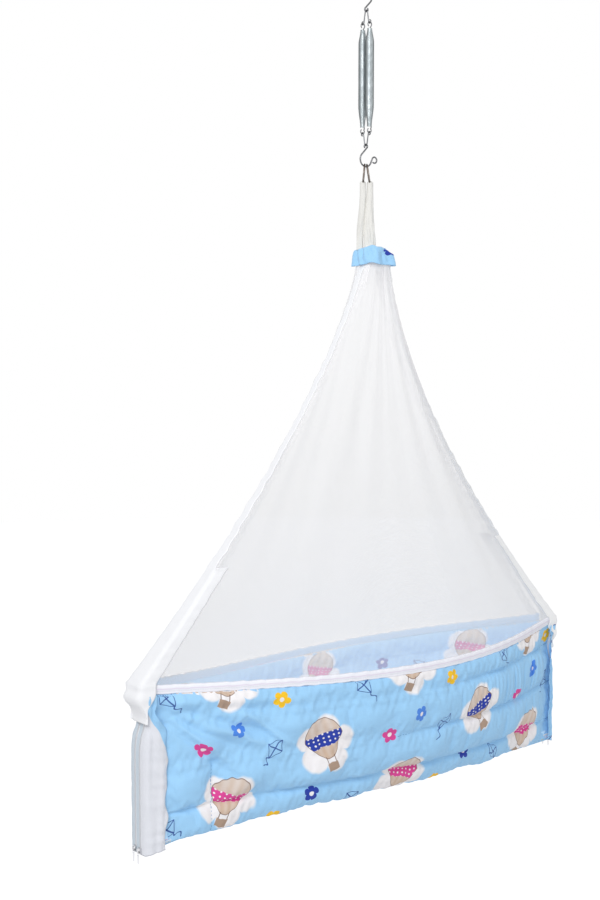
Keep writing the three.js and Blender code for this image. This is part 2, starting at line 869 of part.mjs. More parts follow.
for (const [name, end] of [
  ["left_corner_facing", -1],
  ["right_corner_facing", 1],
]) {
  const loops = tapeShares(facingStartShare, 1 - bandEndShare).map((share) => {
    return netChannel(end, share, facingFlange, 0);
  });
  const half = bedEndHalfWidth + bindingProud + clothGap;
  const tipX = bedHalfLength * flangeStation;
  const tipHalf = halfWidthAt(end * flangeStation) + bindingProud + flangeGap;
  [rimZ(1) + bindingHeight / 2 + gap, cornerFootZ].forEach((z) => {
    const web = { x: cornerReach + clothGap, half, z };
    loops.push(channel(end, web, { x: tipX, half: tipHalf, z }, 0, 0));
  });
  addPiece(name, clearOfNets(loft(loops)), whiteCloth);
}

// Zip bands on the ends of the bed

const zipTopZ = cornerFootZ - gap;
const zipFootZ = (end) => baseZ(end) - zipBandFoot;
const flareFootZ = rimEndZ - cornerDrop;

// The web stands straight below and leans out to the corner above
function webX(z) {
  const lean = smooth(clamp01((z - flareFootZ) / (zipTopZ - flareFootZ)));
  return mix(bedHalfLength + gap, cornerReach + clothGap, lean);
}

function zipChannel(end, z) {
  const u = end * flangeStation;
  const share = clamp01((wallTopZ(u) - z) / (wallTopZ(u) - baseZ(u)));
  const tipPoint = wallPoint(1, u, share, 0);
  const tip = { x: Math.abs(tipPoint.x), half: tipPoint.y + flangeGap, z };
  return channel(end, { x: webX(z), half: bedEndHalfWidth + clothGap, z }, tip, 0, 0);
}

const flareZs = flareShares.map((share) => mix(zipTopZ, flareFootZ, share));

function zipLevels(end) {
  const straightZs = wallShares.map((share) => wallPoint(1, end * flangeStation, share, 0).z);
  return [...flareZs, ...straightZs.filter((z) => z < flareFootZ), zipFootZ(end)];
}

for (const [name, end] of [
  ["left_zip_band", -1],
  ["right_zip_band", 1],
]) {
  addPiece(name, loft(zipLevels(end).map((z) => zipChannel(end, z))), whiteCloth);
}

// Zips: two chains on each end, each with its slider and pull

const chainFaceX = webX(flareFootZ) + tape + gap;
const chainTopZ = zipTopZ - gap;
const chainFootZ = (end) => zipFootZ(end) + gap;
const sliderZ = (end) => chainFootZ(end) + stopHeight + gap + sliderHeight / 2;

// The web's place on the flat facets between the levels where it is given
function facetWebX(end, z) {
  const levels = zipLevels(end);
  const above = Math.max(1, levels.findIndex((level) => level <= z));
  const share = (levels[above - 1] - z) / (levels[above - 1] - levels[above]);
  return mix(webX(levels[above - 1]), webX(levels[above]), share);
}

// Stands a flat outline, drawn in Y and Z, on a plane across X
function standing(shape, thickness, end, fromX) {
  const geometry = new THREE.ExtrudeGeometry(shape, { depth: thickness, bevelEnabled: false });
  const basis = new THREE.Matrix4().makeBasis(
    new THREE.Vector3(0, 1, 0),
    new THREE.Vector3(0, 0, 1),
    new THREE.Vector3(1, 0, 0),
  );
  const startX = end > 0 ? fromX : -fromX - thickness;
  return geometry.applyMatrix4(basis).translate(startX, 0, 0);
}

// A chain follows the web, with a wide stop at its foot and its top
function chainGeometry(end, y) {
  const taper = leastWireGap;
  const footZ = chainFootZ(end);
  const places = [
    [footZ, stopWidth],
    [footZ + stopHeight - taper, stopWidth],
    [footZ + stopHeight, chainWidth],
    ...flareZs.slice(1).reverse().map((z) => [z, chainWidth]),
    [chainTopZ - stopHeight, chainWidth],
    [chainTopZ - stopHeight + taper, stopWidth],
    [chainTopZ, stopWidth],
  ];
  const loops = places.map(([z, width]) => {
    const near = facetWebX(end, z) + tape + gap;
    const far = near + chainThick;
    return [
      new THREE.Vector3(end * near, y - width / 2, z),
      new THREE.Vector3(end * far, y - width / 2, z),
      new THREE.Vector3(end * far, y + width / 2, z),
      new THREE.Vector3(end * near, y + width / 2, z),
    ];
  });
  return loft(loops);
}

const plateX = chainFaceX + chainThick + gap;
const barX = plateX + sliderPlate + (crownHeight - crownWall) / 2;
const barZ = (end) => sliderZ(end) - crownWindow / 2 + pullBar;

function sliderSolid(end, y) {
  const lipDepth = chainThick + gap;
  const lipX = plateX - lipDepth / 2;
  const lipY = sliderWidth / 2 - sliderLip / 2;
  const plateMid = plateX + sliderPlate / 2;
  const crownMid = plateX + sliderPlate + crownHeight / 2;
  const windowDepth = crownHeight - crownWall;
  const windowMid = plateX + sliderPlate + windowDepth / 2;
  const z = sliderZ(end);
  const plate = box(sliderPlate, sliderWidth, sliderHeight, end * plateMid, y, z);
  let solid = toSolid(plate);
  [-1, 1].forEach((side) => {
    const lip = box(
      lipDepth + sliderPlate,
      sliderLip,
      sliderHeight,
      end * (lipX + sliderPlate / 2),
      y + side * lipY,
      z,
    );
    solid = solid.add(toSolid(lip));
  });
  const crown = box(
    crownHeight + sliderPlate,
    crownWidth,
    crownLength,
    end * (crownMid - sliderPlate / 2),
    y,
    z,
  );
  const window = box(windowDepth, 2 * crownWidth, crownWindow, end * windowMid, y, z);
  return solid.add(toSolid(crown).subtract(toSolid(window)));
}

function pullShape(end, y) {
  const half = pullWidth / 2;
  const foot = pullFootWidth / 2;
  const topZ = barZ(end) + pullBar / 2;
  const footZ = topZ - pullLength;
  const windowHalf = crownWidth / 2 + leastWireGap;
  const windowTop = barZ(end) - pullBar / 2;
  const windowFoot = barZ(end) - pullWindow;
  const shoulderZ = windowFoot - pullBar;
  const shape = new THREE.Shape();
  shape.moveTo(y - half, topZ);
  shape.lineTo(y - half, shoulderZ);
  shape.absarc(y, footZ + foot, foot, Math.PI, 2 * Math.PI);
  shape.lineTo(y + half, shoulderZ);
  shape.lineTo(y + half, topZ);
  const window = new THREE.Path();
  window.moveTo(y - windowHalf, windowTop);
  window.lineTo(y + windowHalf, windowTop);
  window.lineTo(y + windowHalf, windowFoot);
  window.lineTo(y - windowHalf, windowFoot);
  shape.holes.push(window);
  return shape;
}

for (const [endName, end] of [
  ["left", -1],
  ["right", 1],
]) {
  for (const [sideName, side] of [
    ["front", -1],
    ["back", 1],
  ]) {
    const y = (side * chainApart) / 2;
    const name = endName + "_" + sideName + "_zip";
    addPiece(name + "_chain", chainGeometry(end, y), zipTape);
    addPiece(name + "_slider", fromSolid(sliderSolid(end, y)), zipMetal);
    const pull = standing(pullShape(end, y), pullThick, end, barX - pullThick / 2);
    addPiece(name + "_pull", pull, zipMetal);
  }
}

console.log("swing axis z " + upperApexZ.toFixed(2));
console.log("spring top z " + springTopZ.toFixed(2) + ", foot z " + springBottomZ.toFixed(2));
console.log("hook pivot z " + lowerApexZ.toFixed(2));
console.log("rock axis z " + (seatZ - hookWire / 2).toFixed(2));
console.log("collar z " + collarTopZ.toFixed(2) + " to " + collarFootZ.toFixed(2));
console.log("rim end z " + rimEndZ.toFixed(2) + ", base z " + baseZ(0).toFixed(2));
[-1, 1].forEach((end) => {
  console.log("pull bar x " + (end * barX).toFixed(2) + ", z " + barZ(end).toFixed(2));
  const travel = flareFootZ - sliderZ(end) - sliderHeight / 2;
  console.log("slider travel " + travel.toFixed(2));
});

export default cradle;
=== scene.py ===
"""Dresses a hanging cloth cradle: wire hooks and springs above, a netted tent, and a
quilted bed with zipped ends. All sizes are in metres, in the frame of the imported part."""
import math

import bmesh
import bpy
import numpy as np
from bpy.props import FloatProperty, FloatVectorProperty, IntProperty, PointerProperty
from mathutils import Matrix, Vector


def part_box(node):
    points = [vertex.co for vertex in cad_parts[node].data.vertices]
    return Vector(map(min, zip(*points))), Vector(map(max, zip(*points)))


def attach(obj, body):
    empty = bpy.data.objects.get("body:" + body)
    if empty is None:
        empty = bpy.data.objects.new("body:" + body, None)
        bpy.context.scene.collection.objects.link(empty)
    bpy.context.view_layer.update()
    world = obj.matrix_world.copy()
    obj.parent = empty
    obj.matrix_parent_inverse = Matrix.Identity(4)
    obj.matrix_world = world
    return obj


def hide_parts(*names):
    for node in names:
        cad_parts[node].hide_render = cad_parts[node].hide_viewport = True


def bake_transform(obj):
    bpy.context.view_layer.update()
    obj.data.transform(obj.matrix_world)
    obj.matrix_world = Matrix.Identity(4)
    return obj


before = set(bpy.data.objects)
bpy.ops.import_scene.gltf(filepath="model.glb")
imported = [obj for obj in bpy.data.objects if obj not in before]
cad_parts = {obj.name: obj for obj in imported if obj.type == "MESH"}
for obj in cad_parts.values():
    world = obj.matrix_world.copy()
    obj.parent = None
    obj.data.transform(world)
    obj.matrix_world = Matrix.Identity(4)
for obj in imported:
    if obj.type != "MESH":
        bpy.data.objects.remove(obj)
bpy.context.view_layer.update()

bl_info = {
    "name": "Hanging cradle",
    "version": (1, 0, 0),
    "blender": (4, 5, 0),
    "location": "3D View > Sidebar > Cradle",
    "description": "Makes the wire, cloth, net and zips of a hanging baby cradle",
    "category": "Object",
}

MM = 0.001

# Bed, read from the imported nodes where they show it
_, WALL_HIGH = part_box("front_wall")
BINDING_LOW, BINDING_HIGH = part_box("front_rim_binding")
BASE_LOW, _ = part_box("base_panel")
COLLAR_LOW, COLLAR_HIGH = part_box("collar")
BINDING_HEIGHT = 14 * MM
BINDING_DEPTH = 8 * MM
BINDING_PROUD = 1.2 * MM
STITCHED_ROW = 6
WALL_THICK = 12 * MM
QUILT_INSET = 1.5 * MM
BED_HALF_LENGTH = WALL_HIGH.x
BED_HALF_WIDTH = 112 * MM
BED_END_HALF = 20 * MM
BED_SKEW_SHARE = 0.4
BED_PLAN_POWER = 1.3
BASE_HALF = 40 * MM
RIM_END_Z = BINDING_HIGH.z - BINDING_HEIGHT / 2
RIM_SAG = BINDING_HIGH.z - BINDING_LOW.z - BINDING_HEIGHT
BASE_END_Z = BASE_LOW.z
BASE_RISE = 22 * MM
RIGHT_END_RISE = 24 * MM
CORNER_REACH = 458 * MM
CORNER_DROP = 68 * MM
SEAM_SHARES = (0.16, 0.49, 0.81)
CROSS_SEAM_X = -340 * MM
SEAM_FADES = (60 * MM, -60 * MM)
SEAM_FADE_REACH = 140 * MM
WALL_FALL = 256 * MM
# How far each band of quilting swells and is pleated, from the top one down
PUFF_SHARES = np.array((0.45, 0.8, 1.0, 0.7))
PLEAT_SHARES = np.array((0.6, 1, 0.25, 0.25))
WALL_ROWS = 52
WALL_COLUMNS = 281
# Folds dragged from the bed's left corner across a wall: slope, reach and depth
DRAG_FOLDS = (
    (0.06, 260 * MM, 6 * MM),
    (0.24, 270 * MM, 7.5 * MM),
    (0.5, 240 * MM, 7 * MM),
    (0.9, 190 * MM, 5.5 * MM),
)
ZIP_TAPE_RIM = ((0, -2.5 * MM), (0.5 * MM, -2.4 * MM), (0.5 * MM, 2.4 * MM), (0, 2.5 * MM))
ZIP_TEETH = 124
TOOTH_RADIUS = 0.42 * MM
PAD_THICK = 22 * MM
PAD_LENGTH_SHARE = 0.93
PAD_CHANNELS = 6
CORNER_DRAW = 11 * MM
CORNER_DRAW_DROP = 48 * MM
LINE_GAP = 0.3 * MM
FLANGE_STATION = 1 - 16 * MM / BED_HALF_LENGTH
CORNER_FOOT_Z = RIM_END_Z - RIM_SAG * (1 - FLANGE_STATION ** 2) - BINDING_HEIGHT / 2 - LINE_GAP

# Collar and net
COLLAR_CENTRE = ((COLLAR_LOW.x + COLLAR_HIGH.x) / 2, (COLLAR_LOW.y + COLLAR_HIGH.y) / 2)
COLLAR_FLARE = 4 * MM
COLLAR_HALF = (COLLAR_HIGH.x - COLLAR_LOW.x) / 2 - COLLAR_FLARE
COLLAR_WALL = 2 * MM
NET_TOP_HEIGHT = 6 * MM
NET_TOP_Z = COLLAR_LOW.z + NET_TOP_HEIGHT
NET_TOP_HALF = 24.2 * MM
NET_EDGE_TOP = 4 * MM
NET_SPREAD_POWER = 1.4
NET_DRAW_SHARE = 0.8
NET_INSET = 0.8 * MM
TAPE = 2 * MM
TAPE_STANDOFF = 2.5 * MM
FACING_START_SHARE = 0.745
TAPE_COLUMNS = 48
FRONT_COLUMNS = 14
BACK_COLUMNS = 14
EDGE_LENGTH = 800 * MM
WEB_SHARE = 0.46
CLOTH_SKIN = 1.2 * MM

# Wires
HOOK_WIRE = 2.6 * MM
HOOK_BEND = 12 * MM
HOOK_EYE = 3.35 * MM
HOOK_TIP = 5 * MM
HOOK_TIP_REACH = 8 * MM
HOOK_LEAN = math.radians(45)
HOOK_TIP_TURN = math.radians(-25)
YOKE_WIRE = 2 * MM
YOKE_APEX = 2.9 * MM
YOKE_EYE = 2.6 * MM
YOKE_LEG = 18.7 * MM
YOKE_SPREAD = math.radians(11)
SPRING_WIRE = 1.8 * MM
SPRING_RADIUS = 6.6 * MM
SPRING_NECK = 3.2 * MM
SPRING_LOOP = 3.9 * MM
SPRING_NECK_GAP = 2.4 * MM
SPRING_CONES = (24 * MM, 36 * MM)
POINTS_PER_TURN = 22
JOINT_STEP = 0.6 * MM
RING_WIRE = 3 * MM
RING_RADIUS = 15.5 * MM
RING_TURN = math.radians(-39.7)
RING_LIFT = 0.25 * MM
LEFT_SPLAY, RIGHT_SPLAY = math.radians(5), math.radians(9)
WIRE_SIDES = 14
WIRE_STEP = 0.5 * MM

# Camera and stage, from the photo's perspective
CAMERA_PLACE = (-1.533, -1.847, -0.5751)
CAMERA_HEADING = math.radians(52.95)
CAMERA_TILT = math.radians(-4.63)
CAMERA_LENS = 56.28
SENSOR = 36
FLOOR_Z = -2.05
LAMPS_AIM_Z = -0.8


def smooth(share):
    return share * share * (3 - 2 * share)


def clamp01(value):
    return np.clip(value, 0, 1)


def soft_step(value):
    """0 below 0, 1 above 1 and smooth between."""
    return smooth(clamp01(value))


def bell(offset, width):
    """1 where the offset is zero, and falling to nothing on both sides."""
    return np.exp(-(offset / width) ** 2)


def mix(a, b, share):
    return a + (b - a) * share


def stacked(*parts):
    """Arrays side by side as the last axis, spread to one shape."""
    return np.stack(np.broadcast_arrays(*parts), axis=-1)


def round_angles(count):
    return np.linspace(0, 2 * math.pi, count, endpoint=False)


def squared(value, power):
    """A sine or a cosine raised to a power with its sign kept, for rounded box outlines."""
    return np.sign(value) * np.abs(value) ** power


def waves(along, across, seed, count, shortest, longest):
    """A sum of soft waves, about -1 to 1, for folds and puckers."""
    rng = np.random.default_rng(seed)
    total = 0
    for _ in range(count):
        length = rng.uniform(shortest, longest)
        lean = rng.uniform(-0.4, 0.4)
        phase = rng.uniform(0, 2 * math.pi)
        total = total + np.sin(2 * math.pi * (along + lean * across) / length + phase)
    return total / math.sqrt(count)


class CradleHardware(bpy.types.PropertyGroup):
    spring_turns: IntProperty(
        name="Spring turns", description="Turns of wire in each spring",
        default=88, min=10)
    wire_color: FloatVectorProperty(
        name="Wire", description="Colour of the hooks and yokes",
        subtype="COLOR", default=(0.24, 0.25, 0.26), size=3)
    spring_color: FloatVectorProperty(
        name="Springs", description="Colour of the springs",
        subtype="COLOR", default=(0.72, 0.775, 0.795), size=3)
    ring_color: FloatVectorProperty(
        name="Rings", description="Colour of the rings",
        subtype="COLOR", default=(0.3, 0.27, 0.25), size=3)
    zip_color: FloatVectorProperty(
        name="Zip metal", description="Colour of the zip sliders and pulls",
        subtype="COLOR", default=(0.55, 0.55, 0.56), size=3)


class CradleCloth(bpy.types.PropertyGroup):
    ground_color: FloatVectorProperty(
        name="Ground", description="Light blue ground of the print",
        subtype="COLOR", default=(0.34, 0.615, 0.885), size=3)
    patch_color: FloatVectorProperty(
        name="Patches", description="Pale patches of the print",
        subtype="COLOR", default=(0.86, 0.84, 0.85), size=3)
    tan_color: FloatVectorProperty(
        name="Tan", description="Tan of the printed balloons",
        subtype="COLOR", default=(0.6, 0.45, 0.34), size=3)
    pink_color: FloatVectorProperty(
        name="Pink", description="Pink of the print",
        subtype="COLOR", default=(0.7, 0.06, 0.3), size=3)
    navy_color: FloatVectorProperty(
        name="Navy", description="Navy of the print",
        subtype="COLOR", default=(0.018, 0.045, 0.36), size=3)
    yellow_color: FloatVectorProperty(
        name="Yellow", description="Yellow of the print",
        subtype="COLOR", default=(0.92, 0.55, 0.02), size=3)
    blue_color: FloatVectorProperty(
        name="Mid blue", description="Mid blue of the print",
        subtype="COLOR", default=(0.07, 0.24, 0.75), size=3)
    white_color: FloatVectorProperty(
        name="White", description="White cotton of the bands",
        subtype="COLOR", default=(0.8, 0.805, 0.825), size=3)
    net_color: FloatVectorProperty(
        name="Net", description="Colour of the net's threads",
        subtype="COLOR", default=(0.73, 0.725, 0.735), size=3)
    net_cover: FloatProperty(
        name="Net cover", description="Share of the light that the net stops",
        default=0.38, min=0, max=1)
    puff: FloatProperty(
        name="Puff", description="How far the quilting swells between its seams",
        default=8.5 * MM, unit="LENGTH")


class CradleStage(bpy.types.PropertyGroup):
    key_power: FloatProperty(
        name="Key lamp", description="Power of the large lamp",
        default=60, unit="POWER")
    fill_power: FloatProperty(
        name="Fill lamp", description="Power of the second lamp",
        default=9, unit="POWER")
    sky: FloatProperty(
        name="Sky", description="Strength of the even light from all round",
        default=0.55)


# Meshes


def grid_mesh(name, points, uv, around=False, capped=False):
    """A mesh of rows of points. around joins each row's ends, and capped closes the first
    and last rows with strips between the points that face each other."""
    rows, cols = points.shape[:2]
    r = np.arange(rows - 1)[:, None]
    c = np.arange(cols if around else cols - 1)[None, :]
    after = (c + 1) % cols
    quads = stacked(r * cols + c, r * cols + after, (r + 1) * cols + after, (r + 1) * cols + c)
    corners = np.stack([uv[r, c], uv[r, c + 1], uv[r + 1, c + 1], uv[r + 1, c]], axis=2)
    quads, corners = quads.reshape(-1, 4), corners.reshape(-1, 4, 2)
    if capped:
        k = np.arange(cols // 2 - 1)
        first = stacked(cols - 1 - k, cols - 2 - k, k + 1, k)
        last = first[:, ::-1] + (rows - 1) * cols
        flat_uv = uv[:, :cols].reshape(-1, 2)
        quads = np.concatenate([quads, first, last])
        corners = np.concatenate([corners, flat_uv[first], flat_uv[last]])
    mesh = bpy.data.meshes.new(name)
    mesh.from_pydata(points.reshape(-1, 3), [], quads)
    layer = mesh.uv_layers.new(name="UVMap")
    layer.data.foreach_set("uv", corners.reshape(-1).astype(np.float32))
    mesh.shade_smooth()
    return mesh


def read(items, field, width, kind=float):
    """A field of a mesh's vertices, loops or triangles, with a row for each."""
    values = np.empty(len(items) * width, dtype=kind)
    items.foreach_get(field, values)
    return values.reshape(-1, width)


def face_out(mesh):
    """Turns a closed mesh's faces out."""
    mesh.calc_loop_triangles()
    corners = read(mesh.loop_triangles, "vertices", 3, np.int32)
    a, b, c = read(mesh.vertices, "co", 3)[corners].transpose(1, 0, 2)
    if (a * np.cross(b, c)).sum() < 0:
        mesh.flip_normals()


def lengths_uv(points, around=False):
    """UVs that are lengths over the cloth: along each row, and down from row to row."""
    closed = np.concatenate([points, points[:, :1]], axis=1) if around else points
    over = np.zeros(closed.shape[:2])
    over[:, 1:] = np.cumsum(np.linalg.norm(np.diff(closed, axis=1), axis=2), axis=1)
    down = np.zeros(closed.shape[:2])
    down[1:] = np.cumsum(np.linalg.norm(np.diff(closed, axis=0), axis=2), axis=0)
    return stacked(over, down.mean(axis=1, keepdims=True) + 0 * down)


def tube_mesh(name, path, radius, sides):
    """A closed tube along a path, with rounded ends."""
    path = np.asarray(path, dtype=float)
    step = np.gradient(path, axis=0)
    tangent = step / np.linalg.norm(step, axis=1, keepdims=True)
    normal = np.cross(tangent[0], (0.3, 0.5, 0.8))
    rings = []
    angle = round_angles(sides)[:, None]
    for point, along in zip(path, tangent):
        normal = normal - along * normal.dot(along)
        normal /= np.linalg.norm(normal)
        side = np.cross(along, normal)
        rings.append(point + radius * (np.cos(angle) * normal + np.sin(angle) * side))
    ends = []
    for at, toward in ((0, -1), (-1, 1)):
        for share in (0.5, 0.85, 0.98):
            width = math.sqrt(1 - share * share)
            spot = path[at] + toward * share * radius * tangent[at]
            ends.append(spot + (rings[at] - path[at]) * width)
    points = np.array(ends[2::-1] + rings + ends[3:])
    mesh = grid_mesh(name, points, lengths_uv(points, True), around=True, capped=True)
    face_out(mesh)
    return mesh


def arc(centre, radius, start, end, steps):
    angles = np.linspace(start, end, steps + 1)
    return [(centre[0] + radius * math.cos(a), centre[1] + radius * math.sin(a)) for a in angles]


def eased(points, spacing):
    """Points of a smooth curve through the given ones, closer together."""
    points = np.asarray(points, dtype=float)
    keep = np.r_[True, np.linalg.norm(np.diff(points, axis=0), axis=1) > spacing / 10]
    points = points[keep]
    ends = np.vstack([2 * points[0] - points[1], points, 2 * points[-1] - points[-2]])
    result = []
    for i in range(1, len(ends) - 2):
        before, start, end, after = ends[i - 1:i + 3]
        count = max(2, int(np.linalg.norm(end - start) / spacing))
        t = np.linspace(0, 1, count, endpoint=False)[:, None]
        lead, trail = (end - before) / 2, (after - start) / 2
        cubic = (2 * start - 2 * end + lead + trail) * t ** 3
        result.append(cubic + (3 * end - 3 * start - 2 * lead - trail) * t ** 2 + lead * t + start)
    return np.vstack(result + [points[-1:]])


def place(mesh, body, materials, replaces=()):
    """Makes a mesh a piece of the model."""
    piece = bpy.data.objects.new(mesh.name, mesh)
    bpy.context.scene.collection.objects.link(piece)
    for material in materials:
        mesh.materials.append(material)
    if replaces:
        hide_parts(*replaces)
    if body:
        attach(piece, body)
    return piece


def cushion_mesh(name, under, top, flat):
    """A closed cushion from its two faces. flat gives the UVs of one of them."""
    points = np.concatenate([under, top[:, ::-1]], axis=1)
    uv = np.concatenate([flat, flat[:, ::-1], flat[:, :1]], axis=1)
    mesh = grid_mesh(name, points, uv, around=True, capped=True)
    face_out(mesh)
    return mesh


def thicken(piece, thickness, offset=0):
    skin = piece.modifiers.new("Thickness", "SOLIDIFY")
    skin.thickness = thickness
    skin.offset = offset


def round_out(piece):
    finer = piece.modifiers.new("Smooth", "SUBSURF")
    finer.levels = finer.render_levels = 1


def joined(name, meshes):
    """One mesh of several."""
    points, faces, uvs, offset = [], [], [], 0
    for mesh in meshes:
        points.append(read(mesh.vertices, "co", 3))
        faces += [[v + offset for v in face.vertices] for face in mesh.polygons]
        uvs.append(read(mesh.uv_layers[0].data, "uv", 2))
        offset += len(mesh.vertices)
        bpy.data.meshes.remove(mesh)
    result = bpy.data.meshes.new(name)
    result.from_pydata(np.vstack(points), [], faces)
    flat = np.concatenate(uvs).reshape(-1).astype(np.float32)
    result.uv_layers.new(name="UVMap").data.foreach_set("uv", flat)
    result.shade_smooth()
    return result


def stitches(name, path, outward, pitch=4 * MM, reach=2.4 * MM, thread=0.3 * MM):
    """A row of thread stitches along a path. outward gives the cloth's normal at each point."""
    path, outward = np.asarray(path, dtype=float), np.asarray(outward, dtype=float)
    along = np.r_[0, np.cumsum(np.linalg.norm(np.diff(path, axis=0), axis=1))]
    marks = np.arange(pitch, along[-1] - pitch, pitch)
    meshes = []
    for mark in marks:
        at = np.linspace(mark - reach / 2, mark + reach / 2, 5)
        middle = np.stack([np.interp(at, along, path[:, k]) for k in range(3)], axis=1)
        out = np.stack([np.interp(at, along, outward[:, k]) for k in range(3)], axis=1)
        bow = np.sin(np.linspace(0, math.pi, 5))[:, None] * thread * 1.6
        meshes.append(tube_mesh(name, middle + out * (bow - thread * 0.4), thread, 5))
    return joined(name, meshes)


# Cloth simulation


def swell(piece, pins, pressure, slack, frames, limit):
    """Blows a sewn cover up as cloth, held along its pins. No point goes further than
    the limit from where it started."""
    mesh = piece.data
    rest = read(mesh.vertices, "co", 3)
    group = piece.vertex_groups.new(name="pins")
    group.add([int(i) for i in pins], 1.0, "REPLACE")
    cloth = piece.modifiers.new("Cloth", "CLOTH")
    values = cloth.settings
    values.quality = 5
    values.mass = 0.15
    values.tension_stiffness = 20
    values.compression_stiffness = 20
    values.shear_stiffness = 10
    values.bending_stiffness = 0.02
    values.air_damping = 4
    values.vertex_group_mass = group.name
    values.use_pressure = True
    values.uniform_pressure_force = pressure
    values.shrink_min = -slack
    values.effector_weights.gravity = 0
    cloth.collision_settings.use_collision = False
    cloth.point_cache.frame_start = 1
    cloth.point_cache.frame_end = frames
    scene = bpy.context.scene
    for number in range(1, frames + 1):
        scene.frame_set(number)
    graph = bpy.context.evaluated_depsgraph_get()
    shift = read(piece.evaluated_get(graph).data.vertices, "co", 3) - rest
    piece.modifiers.remove(cloth)
    piece.vertex_groups.remove(group)
    scene.frame_set(1)
    far = np.linalg.norm(shift, axis=1, keepdims=True)
    shift *= np.minimum(1, limit / np.maximum(far, 1e-9))
    mesh.vertices.foreach_set("co", (rest + shift).reshape(-1))
    mesh.update()


# Shader nodes


class Nodes:
    """Adds nodes to a shader tree and joins them up as they are made."""

    def __init__(self, tree):
        self.tree = tree

    def put(self, socket, value):
        if isinstance(value, bpy.types.NodeSocket):
            self.tree.links.new(value, socket)
        elif value is not None:
            socket.default_value = value

    def add(self, kind, settings=None, **inputs):
        node = self.tree.nodes.new(kind)
        for name, value in (settings or {}).items():
            setattr(node, name, value)
        return self.feed(node, **inputs)

    def feed(self, node, **inputs):
        """Sets or links inputs by name, with _ for each space."""
        for name, value in inputs.items():
            self.put(node.inputs[name.replace("_", " ")], value)
        return node

    def math(self, operation, *values, clamp=False):
        node = self.add("ShaderNodeMath", {"operation": operation, "use_clamp": clamp})
        for socket, value in zip(node.inputs, values):
            self.put(socket, value)
        return node.outputs[0]

    def plus(self, a, b, clamp=False):
        return self.math("ADD", a, b, clamp=clamp)

    def minus(self, a, b):
        return self.math("SUBTRACT", a, b)

    def times(self, a, b, clamp=False):
        return self.math("MULTIPLY", a, b, clamp=clamp)

    def line(self, value, slope, start, clamp=False):
        """A value times a slope, plus a start."""
        return self.math("MULTIPLY_ADD", value, slope, start, clamp=clamp)

    def absolute(self, value):
        return self.math("ABSOLUTE", value)

    def parts(self, vector):
        return self.add("ShaderNodeSeparateXYZ", Vector=vector).outputs

    def turned(self, vector, angle):
        about = {"rotation_type": "Z_AXIS"}
        return self.add("ShaderNodeVectorRotate", about, Vector=vector, Angle=angle).outputs[0]

    def vector(self, operation, *values):
        node = self.add("ShaderNodeVectorMath", {"operation": operation})
        for socket, value in zip(node.inputs, values):
            self.put(socket, value)
        return node.outputs["Value" if operation in ("LENGTH", "DISTANCE") else "Vector"]

    def blend(self, share, a, b):
        node = self.add("ShaderNodeMix", {"data_type": "RGBA"})
        for socket, value in ((node.inputs[0], share), (node.inputs[6], a), (node.inputs[7], b)):
            self.put(socket, value)
        return node.outputs[2]

    def within(self, value, middle, half):
        """How far a value is outside a band about the middle: below 0 inside it."""
        far = self.absolute(self.minus(value, middle))
        return self.minus(far, half)

    def uniform(self, value):
        return self.add("ShaderNodeCombineXYZ", X=value, Y=value, Z=value).outputs[0]

    def noise(self, vector, scale, detail=2.0, roughness=0.5):
        node = self.add("ShaderNodeTexNoise", Scale=scale, Detail=detail, Roughness=roughness)
        self.put(node.inputs["Vector"], vector)
        return node.outputs[0]

    def inside(self, distance, softness):
        """1 where a distance is negative and 0 where it is positive, over a soft edge."""
        return self.line(distance, -1 / softness, 0.5, clamp=True)


def node_group(name, inputs, outputs, fill):
    """A node group with named sockets, built once. inputs holds name: (type, default)."""
    if name in bpy.data.node_groups:
        return bpy.data.node_groups[name]
    tree = bpy.data.node_groups.new(name, "ShaderNodeTree")
    for label, (kind, default) in inputs.items():
        socket = tree.interface.new_socket(label, in_out="INPUT", socket_type="NodeSocket" + kind)
        if default is not None:
            socket.default_value = default
    for label, kind in outputs.items():
        tree.interface.new_socket(label, in_out="OUTPUT", socket_type="NodeSocket" + kind)
    nodes = Nodes(tree)
    entry = nodes.add("NodeGroupInput")
    leave = nodes.add("NodeGroupOutput")
    fill(nodes, entry.outputs, leave.inputs)
    return tree


def weave_group():
    """Plain weave: threads that go over and under each other."""

    def fill(n, given, out):
        turns = n.times(given["Threads per metre"], math.pi)
        count = n.add("ShaderNodeCombineXYZ", X=turns, Y=turns).outputs[0]
        scaled = n.vector("MULTIPLY", given["Vector"], count)
        parts = n.parts(scaled)
        warp, weft = n.math("SINE", parts[0]), n.math("SINE", parts[1])
        n.put(out["Height"], n.times(n.absolute(warp), n.absolute(weft)))
        slub = n.noise(n.vector("MULTIPLY", given["Vector"], (60, 900, 0)), 1.0, 1.0)
        cross = n.noise(n.vector("MULTIPLY", given["Vector"], (900, 60, 0)), 1.0, 1.0)
        n.put(out["Slub"], n.plus(n.times(slub, 0.5), n.times(cross, 0.5)))

    return node_group(
        "Weave",
        {"Vector": ("Vector", None), "Threads per metre": ("Float", 2600)},
        {"Height": "Float", "Slub": "Float"},
        fill,
    )


def soft_tone_group():
    """Slow changes of tone over a cloth, with a few faint creases."""

    def fill(n, given, out):
        cloud = n.noise(given["Vector"], 14.0, 3.0)
        stretch = n.vector("MULTIPLY", given["Vector"], (1.0, 2.2, 1.0))
        ridged = {"noise_type": "RIDGED_MULTIFRACTAL"}
        crease = n.add("ShaderNodeTexNoise", ridged, Scale=22.0, Detail=2.0)
        n.put(crease.inputs["Vector"], stretch)
        least = n.line(given["Amount"], -0.5, 1.0)
        n.put(out["Tone"], n.line(cloud, given["Amount"], least))
        n.put(out["Crease"], crease.outputs[0])

    return node_group(
        "Soft tone",
        {"Vector": ("Vector", None), "Amount": ("Float", 0.1)},
        {"Tone": "Float", "Crease": "Float"},
        fill,
    )


